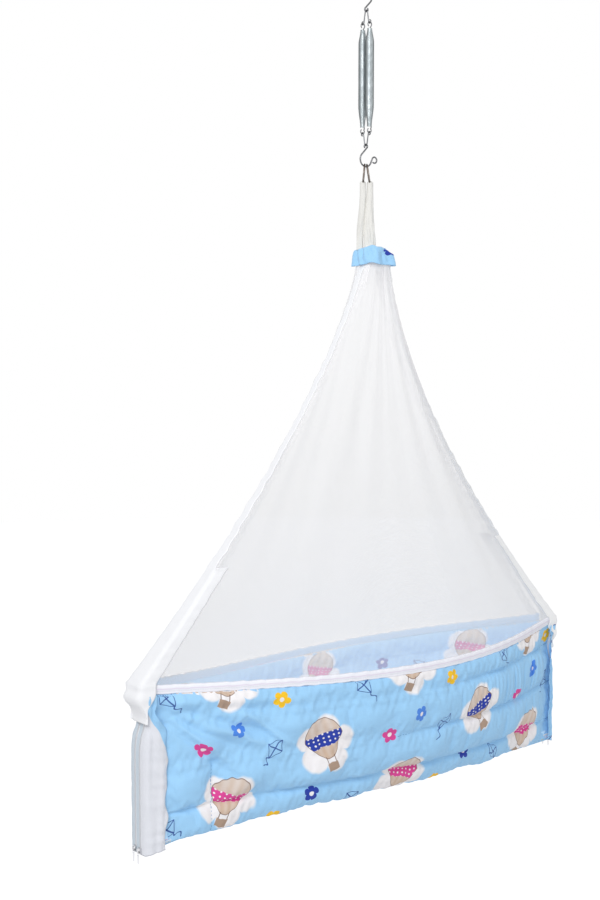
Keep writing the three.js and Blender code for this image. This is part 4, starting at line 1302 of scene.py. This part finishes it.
def edge_rows(end, shares, flange, ruffle, seed):
    """Rows of a tape that binds the nets' edges from one net round to the other."""
    share = shares[:, None]
    shift = (1 - share) ** 3

    def over_net(x):
        return net_depth(end * np.minimum(x / net_reach(share), 1), share) + 1.4 * MM

    tip_x = net_reach(share) - flange
    tip_half = over_net(tip_x)
    # Held flat where it comes out of the collar, and ruffled below
    free = clamp01(share / 0.04)
    ruffle = ruffle * free
    proud = mix(-3.5 * MM, 2.5 * MM, free)
    web, web_half = edge_reach(share) + proud, edge_half(share) + TAPE_STANDOFF
    x, y, turn = channel(web, web_half, tip_x, tip_half, 1.6 * MM, over_net)
    length = share * EDGE_LENGTH
    crinkle = waves(length, turn * 9 * MM, seed, 5, 16 * MM, 48 * MM)
    broad = waves(length, turn * 3 * MM, seed + 3, 3, 50 * MM, 120 * MM)
    spread = 0.35 + 0.65 * clamp01(np.abs(turn) * 2 - 0.9)
    x = x + ruffle * (0.8 * crinkle + 0.9 * broad) * spread
    flutter = waves(length, turn * 9 * MM, seed + 5, 5, 14 * MM, 36 * MM)
    y = y + np.sign(turn) * ruffle * (0.35 + 0.5 * flutter)
    z = mix(NET_TOP_Z, RIM_END_Z + BINDING_HEIGHT / 2, share) + ruffle * 0.6 * crinkle
    return stacked(end * x + shift * COLLAR_CENTRE[0], y + shift * COLLAR_CENTRE[1], z)


class CRADLE_OT_edges(Make, bpy.types.Operator):
    """Makes the ruffled bands and the corner facings on the edges of the nets"""

    bl_idname = "cradle.edges"
    bl_label = "Net edges"

    def execute(self, context):
        for name, end, seed in (("left", -1, 61), ("right", 1, 83)):
            shares = np.linspace(0.004, FACING_START_SHARE + 0.01, 260)
            flange = mix(3 * MM, 8 * MM, shares[:, None])
            points = edge_rows(end, shares, flange, 1.2 * MM, seed)
            mesh = grid_mesh(name + "_band_cloth", points, lengths_uv(points))
            band = place(mesh, "cradle", self.cloths(end), [name + "_net_band"])
            self.sheer_behind(mesh, end, True)
            thicken(band, 0.9 * MM)
            shares = np.linspace(FACING_START_SHARE, 0.995, 90)
            points = edge_rows(end, shares, 16 * MM, 0.45 * MM, seed + 11)
            points = np.concatenate([points, self.foot(end)])
            mesh = grid_mesh(name + "_facing_cloth", points, lengths_uv(points))
            facing = place(mesh, "cradle", self.cloths(end), [name + "_corner_facing"])
            self.sheer_behind(mesh, end)
            thicken(facing, CLOTH_SKIN)
        return {"FINISHED"}

    def cloths(self, end):
        return [look("white_cotton" if end < 0 else "hem_cotton"), look("sheer_hem")]

    def sheer_behind(self, mesh, end, both=False):
        """On the right, the back half of a tape is a doubled hem of the net. both makes
        the front half so too."""
        for patch in mesh.polygons:
            column = patch.index % TAPE_COLUMNS
            front, back = column < FRONT_COLUMNS, column >= TAPE_COLUMNS - BACK_COLUMNS
            patch.material_index = int(end > 0 and back or both and (front or back))

    def foot(self, end):
        """The rows of a facing over the end of the rim, and down over the top of the zips
        to a slanting fold."""
        z = np.linspace(RIM_END_Z + BINDING_HEIGHT / 2, RIM_END_Z - 54 * MM, 36)[:, None]
        fallen = soft_step((CORNER_FOOT_Z + 2 * MM - z) / (30 * MM))
        rolled = 3.2 * MM * bell(z - RIM_END_Z + 12 * MM, 9 * MM)
        web = np.minimum(CORNER_REACH + 2.5 * MM, web_x(z) + TAPE + 5 * MM) + rolled
        web_half = mix(BED_END_HALF + BINDING_PROUD + 2.5 * MM, BED_END_HALF + 3.4 * MM, fallen)
        tip_half = half_width(end * FLANGE_STATION) + BINDING_PROUD + 2.8 * MM
        tip_x = BED_HALF_LENGTH * FLANGE_STATION + 15 * MM * fallen
        tip_half = mix(tip_half, BED_END_HALF + 5 * MM, fallen)
        x, y, turn = channel(web, web_half, tip_x, tip_half, 1.6 * MM)
        crease = waves(z, turn * 20 * MM, 19 + end, 3, 26 * MM, 50 * MM)
        crease = crease * clamp01((RIM_END_Z + 4 * MM - z) / (10 * MM))
        z = z + 3 * MM * fallen * clamp01((np.abs(turn) - 0.4) / 0.6)
        return stacked(end * (x + 1.3 * MM * crease), y + 1.1 * MM * np.sign(turn) * crease, z)


def wall_rows():
    """Shares of a wall's rows, with one row on each seam."""
    marks = (0, *SEAM_SHARES, 1)
    shares = [0.0]
    for low, high in zip(marks, marks[1:]):
        count = max(6, round((high - low) * WALL_ROWS))
        shares += list(np.linspace(low, high, count + 1)[1:])
    return np.array(shares)


def quilt(side, u, share, puff, seed):
    """How far a wall's face stands out: swollen between its seams, drawn in on them, with
    puckers beside the seams and folds that run from the corner."""
    marks = np.array((0, *SEAM_SHARES, 1))
    row = np.clip(np.searchsorted(marks, share, side="right") - 1, 0, len(marks) - 2)
    gap = marks[row + 1] - marks[row]
    within = (share - marks[row]) / gap
    x = u * BED_HALF_LENGTH
    fall = share * WALL_FALL
    ends = soft_step((0.935 - np.abs(u)) / 0.06)
    round_off = np.sin(math.pi * within) ** 0.55
    # On the front, the two upper seams fade out toward the left
    for mark, start in zip(SEAM_SHARES, SEAM_FADES):
        faded = (1 - soft_step((x - start) / SEAM_FADE_REACH)) * (side < 0)
        filled = 0.8 * faded * bell((share - mark) * WALL_FALL, 24 * MM)
        round_off = np.maximum(round_off, filled * clamp01(share / 0.05))
    cross = clamp01(np.abs(x - CROSS_SEAM_X) / (26 * MM)) ** 0.6
    cross = np.where(share > SEAM_SHARES[1] - 0.001, cross, 1)
    uneven = 1 + 0.22 * waves(x, fall, seed + 2, 4, 120 * MM, 300 * MM)
    height = puff * PUFF_SHARES[row] * round_off * cross * uneven
    beside = bell(np.minimum(within, 1 - within) * gap * WALL_FALL, 16 * MM)
    pucker = waves(x, fall, seed, 6, 14 * MM, 36 * MM)
    pleat = waves(x, fall * 0.1, seed + 1, 3, 10 * MM, 17 * MM)
    pleated = soft_step((x - 80 * MM) / (120 * MM)) * PLEAT_SHARES[row]
    height = height + (2.0 * MM * pucker * beside + 1.7 * MM * pleat * pleated) * round_off
    broad = waves(x, fall * 3, seed + 4, 5, 60 * MM, 150 * MM)
    height = height + 2.4 * MM * broad * round_off
    along = x + BED_HALF_LENGTH
    width = 5 * MM + 0.05 * np.maximum(along, 0)
    drag = 0
    for slope, reach, depth in DRAG_FOLDS:
        off = fall - slope * along - 8 * MM
        fade = clamp01(along / (30 * MM)) * clamp01((reach - along) / (80 * MM))
        drag = drag + depth * (bell(off, width) - 0.6 * bell(off - 1.7 * width, width)) * fade
    # One deep crease slants down beside the cross seam
    slant = (fall - 52 * MM) * 56 - (x + 277 * MM) * 54
    shown = clamp01((fall - 30 * MM) / (20 * MM)) * clamp01((115 * MM - fall) / (20 * MM))
    crease = 6.5 * MM * bell(slant, 0.5) * shown
    return (height + (drag + crease) * np.sqrt(round_off)) * ends


class CRADLE_OT_walls(Make, bpy.types.Operator):
    """Makes the quilted front and back wall"""

    bl_idname = "cradle.walls"
    bl_label = "Walls"

    def execute(self, context):
        puff = context.scene.cradle_cloth.puff
        shares = wall_rows()
        # Columns stand closer together toward the ends
        even, bow = np.linspace(-1, 1, WALL_COLUMNS), math.pi / 2 * 0.9
        u = mix(np.sin(even * bow) / math.sin(bow), even, 0.7)[:, None]
        x = u * BED_HALF_LENGTH
        seam = np.isin(np.round(shares, 6), np.round(SEAM_SHARES, 6))
        for node, side in (("front_wall", -1), ("back_wall", 1)):
            share = shares[None, :]
            outer, out = wall_surface(side, u, share, QUILT_INSET)
            inner, _ = wall_surface(side, u, share, WALL_THICK - QUILT_INSET)
            outer = outer + out * quilt(side, u, share, puff, 7 + side)[..., None]
            inner = inner - out * 0.6 * quilt(side, u, share, puff, 17 + side)[..., None]
            slack = 7 * MM * bell(x + 310 * MM, 100 * MM) * soft_step((share - 0.83) / 0.17)
            outer[..., 2] -= slack
            sink = np.where(seam, 1.0, 0.0) * soft_step((0.96 - np.abs(u)) / 0.05)
            shown = soft_step((x + 20 * MM) / SEAM_FADE_REACH) if side < 0 else 1
            depth = np.where(shares > SEAM_SHARES[1], 4.5 * MM, mix(1.2 * MM, 3.6 * MM, shown))
            outer = outer - out * (sink * depth)[..., None]
            outer[:, 0, 2] += 3 * MM
            inner[:, 0, 2] += 3 * MM
            points = np.concatenate([outer, inner[:, ::-1]], axis=1)
            uv = self.flat_uv(side, outer, inner)
            mesh = grid_mesh(node + "_quilt", points, uv, around=True, capped=True)
            face_out(mesh)
            looks = [look("printed_cotton"), look("printed_lining")]
            piece = place(mesh, "cradle", looks, [node])
            for patch in mesh.polygons:
                patch.material_index = int(patch.index % (2 * len(shares)) >= len(shares) - 1)
            held = self.pins(u[:, 0], shares)
            swell(piece, held, pressure=1.6, slack=0.035, frames=14, limit=4 * MM)
            round_out(piece)
            starts = [start + 40 * MM if side < 0 else -1 for start in SEAM_FADES] + [-1]
            threads = []
            for row, start in zip(np.flatnonzero(seam), starts):
                shown = x[:, 0] > start
                threads.append((outer[shown, row], out[shown, row]))
            cross = np.argmin(np.abs(x - CROSS_SEAM_X))
            below = shares > SEAM_SHARES[1]
            threads.append((outer[cross, below], out[cross, below]))
            lines = [
                stitches("line", path, normal, pitch=6 * MM, reach=4.4 * MM, thread=0.45 * MM)
                for path, normal in threads
            ]
            seams = joined(node + "_seam_threads", lines)
            place(seams, "cradle", [look("blue_thread")])
        return {"FINISHED"}

    def flat_uv(self, side, outer, inner):
        """UVs in metres with the print upright on both faces."""
        down = np.zeros(outer.shape[:2])
        down[:, 1:] = np.cumsum(np.linalg.norm(np.diff(outer, axis=1), axis=2), axis=1)
        out_uv = stacked(-side * outer[..., 0] + 0.06, 0.05 - down)
        in_uv = stacked(side * inner[..., 0] + 0.1, 0.11 - down)[:, ::-1]
        return np.concatenate([out_uv, in_uv, out_uv[:, :1]], axis=1)

    def pins(self, u, shares):
        """The points that stitching holds: seams, edges and ends."""
        around = 2 * len(shares)
        seamed = np.isin(np.round(shares, 6), np.round((0, *SEAM_SHARES, 1), 6))
        cross = np.argmin(np.abs(u * BED_HALF_LENGTH - CROSS_SEAM_X))
        index = []
        for column in range(len(u)):
            for row, share in enumerate(shares):
                on_cross = column == cross and share > SEAM_SHARES[1]
                if seamed[row] or on_cross or column in (0, 1, len(u) - 2, len(u) - 1):
                    index += [column * around + row, (column + 1) * around - 1 - row]
        return index


class CRADLE_OT_rims(Make, bpy.types.Operator):
    """Makes the white bindings on the rim"""

    bl_idname = "cradle.rims"
    bl_label = "Rim bindings"

    def execute(self, context):
        u = np.linspace(-1, 1, 321)[:, None]
        slit = 0.12
        turn = np.linspace(slit - math.pi / 2, 1.5 * math.pi - slit, 29)[None, :]
        for node, side in (("front_rim_binding", -1), ("back_rim_binding", 1)):
            x = u * BED_HALF_LENGTH
            wobble = 0.5 * MM * waves(x, 0 * turn, 91 + side, 4, 14 * MM, 45 * MM)
            groove = 0.8 * MM * bell(np.sin(turn) + 0.35, 0.22) * (np.cos(turn) > 0)
            depth, height = BINDING_DEPTH / 2, BINDING_HEIGHT / 2
            flat, tall = squared(np.cos(turn), 0.35), squared(np.sin(turn), 0.75)
            middle = half_width(u) + BINDING_PROUD - depth
            y = middle + depth * flat - groove + wobble * 0.6
            z = rim_z(u) + height * tall + wobble
            points = stacked(x + 0 * turn, side * y, z)
            mesh = grid_mesh(node + "_tape", points, lengths_uv(points))
            looks = [look("binding_cotton"), look("plain_lining")]
            piece = place(mesh, "cradle", looks, [node])
            for patch in mesh.polygons:
                column = patch.index % (turn.size - 1)
                patch.material_index = int(math.cos(turn[0, column]) < -0.2)
            outward = np.zeros((len(u), 3))
            outward[:, 1] = side
            thread = stitches(node + "_stitches", points[:, STITCHED_ROW], outward)
            place(thread, "cradle", [look("thread")])
        return {"FINISHED"}


class CRADLE_OT_floor(Make, bpy.types.Operator):
    """Makes the base panel and the mattress pad on it"""

    bl_idname = "cradle.floor"
    bl_label = "Base and pad"

    def execute(self, context):
        u = np.linspace(-1, 1, 181)[:, None]
        s = np.linspace(-1, 1, 27)[None, :]
        bulge = (1 - s ** 4) * clamp01(1 - np.abs(u) ** 14)
        tuft = 0.5 + 0.5 * np.cos(2 * math.pi * u * BED_HALF_LENGTH / (110 * MM))
        puff = bulge * (1 + 1.8 * (1 - tuft ** 6)) * MM
        half = base_half(u) - 0.5 * MM
        x = u * BED_HALF_LENGTH + 0 * s
        low = stacked(x, s * half, base_z(u) - puff)
        high = stacked(x, s * half, base_z(u) + WALL_THICK - QUILT_INSET + 0 * s)
        mesh = cushion_mesh("base_quilt", low, high, stacked(low[..., 0], low[..., 1] + 30 * MM))
        base = place(mesh, "cradle", [look("printed_cotton")], ["base_panel"])
        self.pad()
        return {"FINISHED"}

    def pad(self):
        """The pad: a crowned cushion with drawn-in sides and sewn channels across it."""
        columns, rows = 169, 25
        mark = np.linspace(-1, 1, columns)[:, None]
        u = mark * PAD_LENGTH_SHARE
        s = np.linspace(-1, 1, rows)[None, :]
        foot = base_z(u) + WALL_THICK + 0.5 * MM
        half_low = base_half(u) - 4 * MM
        share = (wall_top_z(u) - foot - PAD_THICK) / (wall_top_z(u) - base_z(u) - WALL_THICK)
        inner = mix(base_half(u), half_width(u) - WALL_THICK, np.sqrt(np.maximum(0, 1 - share ** 2)))
        half_high = np.minimum(half_low + PAD_THICK, inner - 5 * MM)
        sewn = np.abs(np.sin(math.pi * (mark + 1) * PAD_CHANNELS / 2)) ** 0.45
        round_off = clamp01(1 - np.abs(mark) ** 10) * (1 - s ** 6)
        crown = 6 * MM * sewn * round_off * (1 - 0.4 * s * s)
        x = u * BED_HALF_LENGTH + 0 * s
        top_z = foot + PAD_THICK * mix(0.55, 1, round_off) + crown - 1.5 * MM
        top = stacked(x, s * half_high * 0.97, top_z)
        under = stacked(x, s * half_low * 0.98, foot + 0 * s)
        mesh = cushion_mesh("pad_cushion", under, top, top[..., :2])
        pad = place(mesh, "cradle", [look("pad_cotton")], ["mattress_pad"])
        round_out(pad)


class CRADLE_OT_ends(Make, bpy.types.Operator):
    """Makes the white end bands with their zips"""

    bl_idname = "cradle.ends"
    bl_label = "Zipped ends"

    def execute(self, context):
        for name, end in (("left", -1), ("right", 1)):
            band_low, band_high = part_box(name + "_zip_band")
            self.band(name, end, band_low.z, band_high.z)
            for row in ("front", "back"):
                self.fastener(name + "_" + row, end)
        return {"FINISHED"}

    def band(self, name, end, foot_z, top_z):
        """One end's band: a web over the end of the bed, and a flange over each wall. Its
        rows slant down over the flanges as far as a knee."""
        _, out = across_tape()
        knee = RIM_END_Z - mix(36 * MM, 92 * MM, out)
        knee_share, rows = 0.35, 121
        down = np.linspace(0, 1, rows)[:, None]
        above = mix(top_z, knee, down / knee_share)
        below = mix(knee, foot_z, (down - knee_share) / (1 - knee_share))
        z = np.where(down < knee_share, above, below)
        u = end * FLANGE_STATION
        share = clamp01((wall_top_z(u) - z) / (wall_top_z(u) - base_z(u)))
        web = web_x(z) + TAPE
        lower = soft_step((RIM_END_Z - 34 * MM - z) / (44 * MM))
        broader = (18 * MM * lower - 4 * MM * clamp01((RIM_END_Z - 90 * MM - z) / 0.16)) * (end < 0)
        wander = 1.2 * MM * waves(z, 0 * z, 5, 4, 30 * MM, 80 * MM)
        tip_x = BED_HALF_LENGTH * FLANGE_STATION - broader + wander

        def over_wall(x):
            face, _ = wall_surface(1, end * np.minimum(x / BED_HALF_LENGTH, 1), share, 0)
            return face[..., 1] + 2.4 * MM

        web_half, tip_half = BED_END_HALF + TAPE_STANDOFF, over_wall(tip_x)
        x, y, turn = channel(web, web_half, tip_x, tip_half, 1.8 * MM, over_wall)
        sway = waves(z, turn * 12 * MM, 131 + end, 4, 45 * MM, 110 * MM)
        small = waves(z, turn * 16 * MM, 141 + end, 5, 14 * MM, 34 * MM)
        edge = clamp01(np.abs(turn) * 1.6 - 0.5)
        x = x + (1.2 * sway + 0.5 * small) * MM * edge
        folds = waves(x, z * 0.12, 151 + end, 3, 13 * MM, 26 * MM)
        y = y + np.sign(turn) * (2.2 + 0.6 * sway + 0.5 * small + 2.3 * folds) * MM * edge
        low_end = soft_step((foot_z + 30 * MM - z) / (30 * MM))
        z = z + 6 * MM * low_end * clamp01((np.abs(turn) - 0.4) / 0.6)
        points = stacked(end * x, y, z)
        uv = lengths_uv(points) + np.array((300 * MM, 20 * MM))
        mesh = grid_mesh(name + "_end_cloth", points, uv)
        looks = [look(kind) for kind in ("band_cotton", "printed_cotton", "pad_cotton", "web_cotton")]
        piece = place(mesh, "cradle", looks, [name + "_zip_band"])
        behind = RIM_END_Z - CORNER_DROP * 0.7
        _, chain_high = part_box(name + "_front_zip_chain")
        knee_row = round(knee_share * (rows - 1))
        for patch in mesh.polygons:
            on_flange = abs(patch.center.y) > BED_END_HALF + 1.5 * MM
            low = patch.center.z < behind
            if on_flange and (end > 0 or patch.center.y > 0 and low):
                patch.material_index = 1
            elif on_flange and patch.index // TAPE_COLUMNS < knee_row:
                patch.material_index = 2
            elif end < 0 and low and patch.center.y > chain_high.y:
                patch.material_index = 3
        thicken(piece, CLOTH_SKIN)

    def fastener(self, name, end):
        """A chain with its teeth, and the finish of the slider and the pull on it."""
        chain_low, chain_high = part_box(name + "_zip_chain")
        y = (chain_low.y + chain_high.y) / 2
        z = np.linspace(chain_low.z, chain_high.z, ZIP_TEETH + 2)
        x = web_x(z) + TAPE + LINE_GAP
        tape_points = np.array([
            [(end * (out + lift), y + offset, height) for lift, offset in ZIP_TAPE_RIM]
            for out, height in zip(x, z)
        ])
        uv = lengths_uv(tape_points, True)
        meshes = [grid_mesh("tape", tape_points, uv, around=True, capped=True)]
        face_out(meshes[0])
        for out, height in zip(x[1:-1], z[1:-1]):
            for flank in (-1, 1):
                tooth = [
                    (end * (out + 1.1 * MM), y + flank * reach, height + flank * 0.45 * MM)
                    for reach in (0.1 * MM, 1.7 * MM)
                ]
                meshes.append(tube_mesh("tooth", tooth, TOOTH_RADIUS, 5))
        chain = joined(name + "_zip_teeth", meshes)
        place(chain, "cradle", [look("zip_teeth")], [name + "_zip_chain"])
        for part in ("_zip_slider", "_zip_pull"):
            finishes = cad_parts[name + part].data.materials
            finishes.clear()
            finishes.append(look("zip_metal"))


class CRADLE_OT_stage(Make, bpy.types.Operator):
    """Sets the camera, the lamps, the floor and the pale surroundings"""

    bl_idname = "cradle.stage"
    bl_label = "Stage"

    def execute(self, context):
        scene = context.scene
        scene.view_settings.view_transform = "Standard"
        data = bpy.data.cameras.new("camera")
        data.lens = CAMERA_LENS
        data.sensor_width = SENSOR
        camera = bpy.data.objects.new("camera", data)
        scene.collection.objects.link(camera)
        camera.location = CAMERA_PLACE
        level = math.cos(CAMERA_TILT)
        ahead_x, ahead_y = math.cos(CAMERA_HEADING) * level, math.sin(CAMERA_HEADING) * level
        ahead = Vector((ahead_x, ahead_y, math.sin(CAMERA_TILT)))
        camera.rotation_euler = ahead.to_track_quat("-Z", "Y").to_euler()
        scene.camera = camera
        values = scene.cradle_stage
        self.lamp("key_lamp", values.key_power, spot=(-2.2, -1.6, 0.9), size=1.6)
        self.lamp("fill_lamp", values.fill_power, spot=(1.9, -2.2, -0.2), size=1.4)
        self.floor()
        self.world(values.sky)
        return {"FINISHED"}

    def lamp(self, name, power, spot, size):
        data = bpy.data.lights.new(name, "AREA")
        data.energy = power
        data.size = size
        lamp = bpy.data.objects.new(name, data)
        bpy.context.scene.collection.objects.link(lamp)
        lamp.location = spot
        toward = Vector((0, 0, LAMPS_AIM_Z)) - Vector(spot)
        lamp.rotation_euler = toward.to_track_quat("-Z", "Y").to_euler()

    def seen(self, n):
        """1 for rays from the camera, and for those that metal or glass sends on."""
        path = n.add("ShaderNodeLightPath").outputs
        either = n.math("MAXIMUM", path["Is Camera Ray"], path["Is Glossy Ray"])
        return n.math("MAXIMUM", either, path["Is Transmission Ray"])

    def floor(self):
        reach, rings, spokes = 9.0, 24, 48
        radius = np.linspace(0.02, 1, rings)[:, None] * reach
        angle = round_angles(spokes)[None, :]
        points = stacked(radius * np.cos(angle), radius * np.sin(angle), FLOOR_Z + 0 * radius * angle)
        mesh = grid_mesh("floor", points, lengths_uv(points, True), around=True)
        floor = bpy.data.objects.new("floor", mesh)
        bpy.context.scene.collection.objects.link(floor)
        finish, n, shader, _ = started("pale_floor")
        n.feed(shader, Base_Color=(0.86, 0.86, 0.87, 1), Roughness=0.9, Emission_Color=WHITE)
        n.feed(shader, Emission_Strength=n.times(self.seen(n), 0.53))
        mesh.materials.append(finish)

    def world(self, strength):
        world = bpy.data.worlds.new("surroundings")
        bpy.context.scene.world = world
        world.use_nodes = True
        n = Nodes(world.node_tree)
        world.node_tree.nodes.clear()
        light = n.add("ShaderNodeBackground", Color=(0.97, 0.98, 1, 1), Strength=strength).outputs[0]
        white = n.add("ShaderNodeBackground", Color=WHITE, Strength=1.0).outputs[0]
        both = n.add("ShaderNodeMixShader")
        for socket, value in zip(both.inputs, (self.seen(n), light, white)):
            n.put(socket, value)
        n.add("ShaderNodeOutputWorld", Surface=both.outputs[0])


class CRADLE_PT_panel(bpy.types.Panel):
    """Lists the steps that make the cradle"""

    bl_label = "Hanging cradle"
    bl_idname = "CRADLE_PT_panel"
    bl_space_type = "VIEW_3D"
    bl_region_type = "UI"
    bl_category = "Cradle"

    def draw(self, context):
        for step in STEPS:
            self.layout.operator(step.bl_idname)
        for group in (getattr(context.scene, name) for name in GROUPS):
            for name in group.bl_rna.properties.keys():
                if name not in ("rna_type", "name"):
                    self.layout.prop(group, name)


STEPS = (
    CRADLE_OT_stage,
    CRADLE_OT_wires,
    CRADLE_OT_springs,
    CRADLE_OT_straps,
    CRADLE_OT_collar,
    CRADLE_OT_nets,
    CRADLE_OT_edges,
    CRADLE_OT_walls,
    CRADLE_OT_rims,
    CRADLE_OT_floor,
    CRADLE_OT_ends,
)
GROUPS = {"cradle_hardware": CradleHardware, "cradle_cloth": CradleCloth, "cradle_stage": CradleStage}


def register():
    for kind in (*GROUPS.values(), *STEPS, CRADLE_PT_panel):
        bpy.utils.register_class(kind)
    for name, kind in GROUPS.items():
        setattr(bpy.types.Scene, name, PointerProperty(type=kind))


def unregister():
    for name in GROUPS:
        delattr(bpy.types.Scene, name)
    for kind in (CRADLE_PT_panel, *reversed(STEPS), *GROUPS.values()):
        bpy.utils.unregister_class(kind)


def main():
    register()
    for step in STEPS:
        family, name = step.bl_idname.split(".")
        getattr(getattr(bpy.ops, family), name)()


if __name__ == "__main__":
    main()
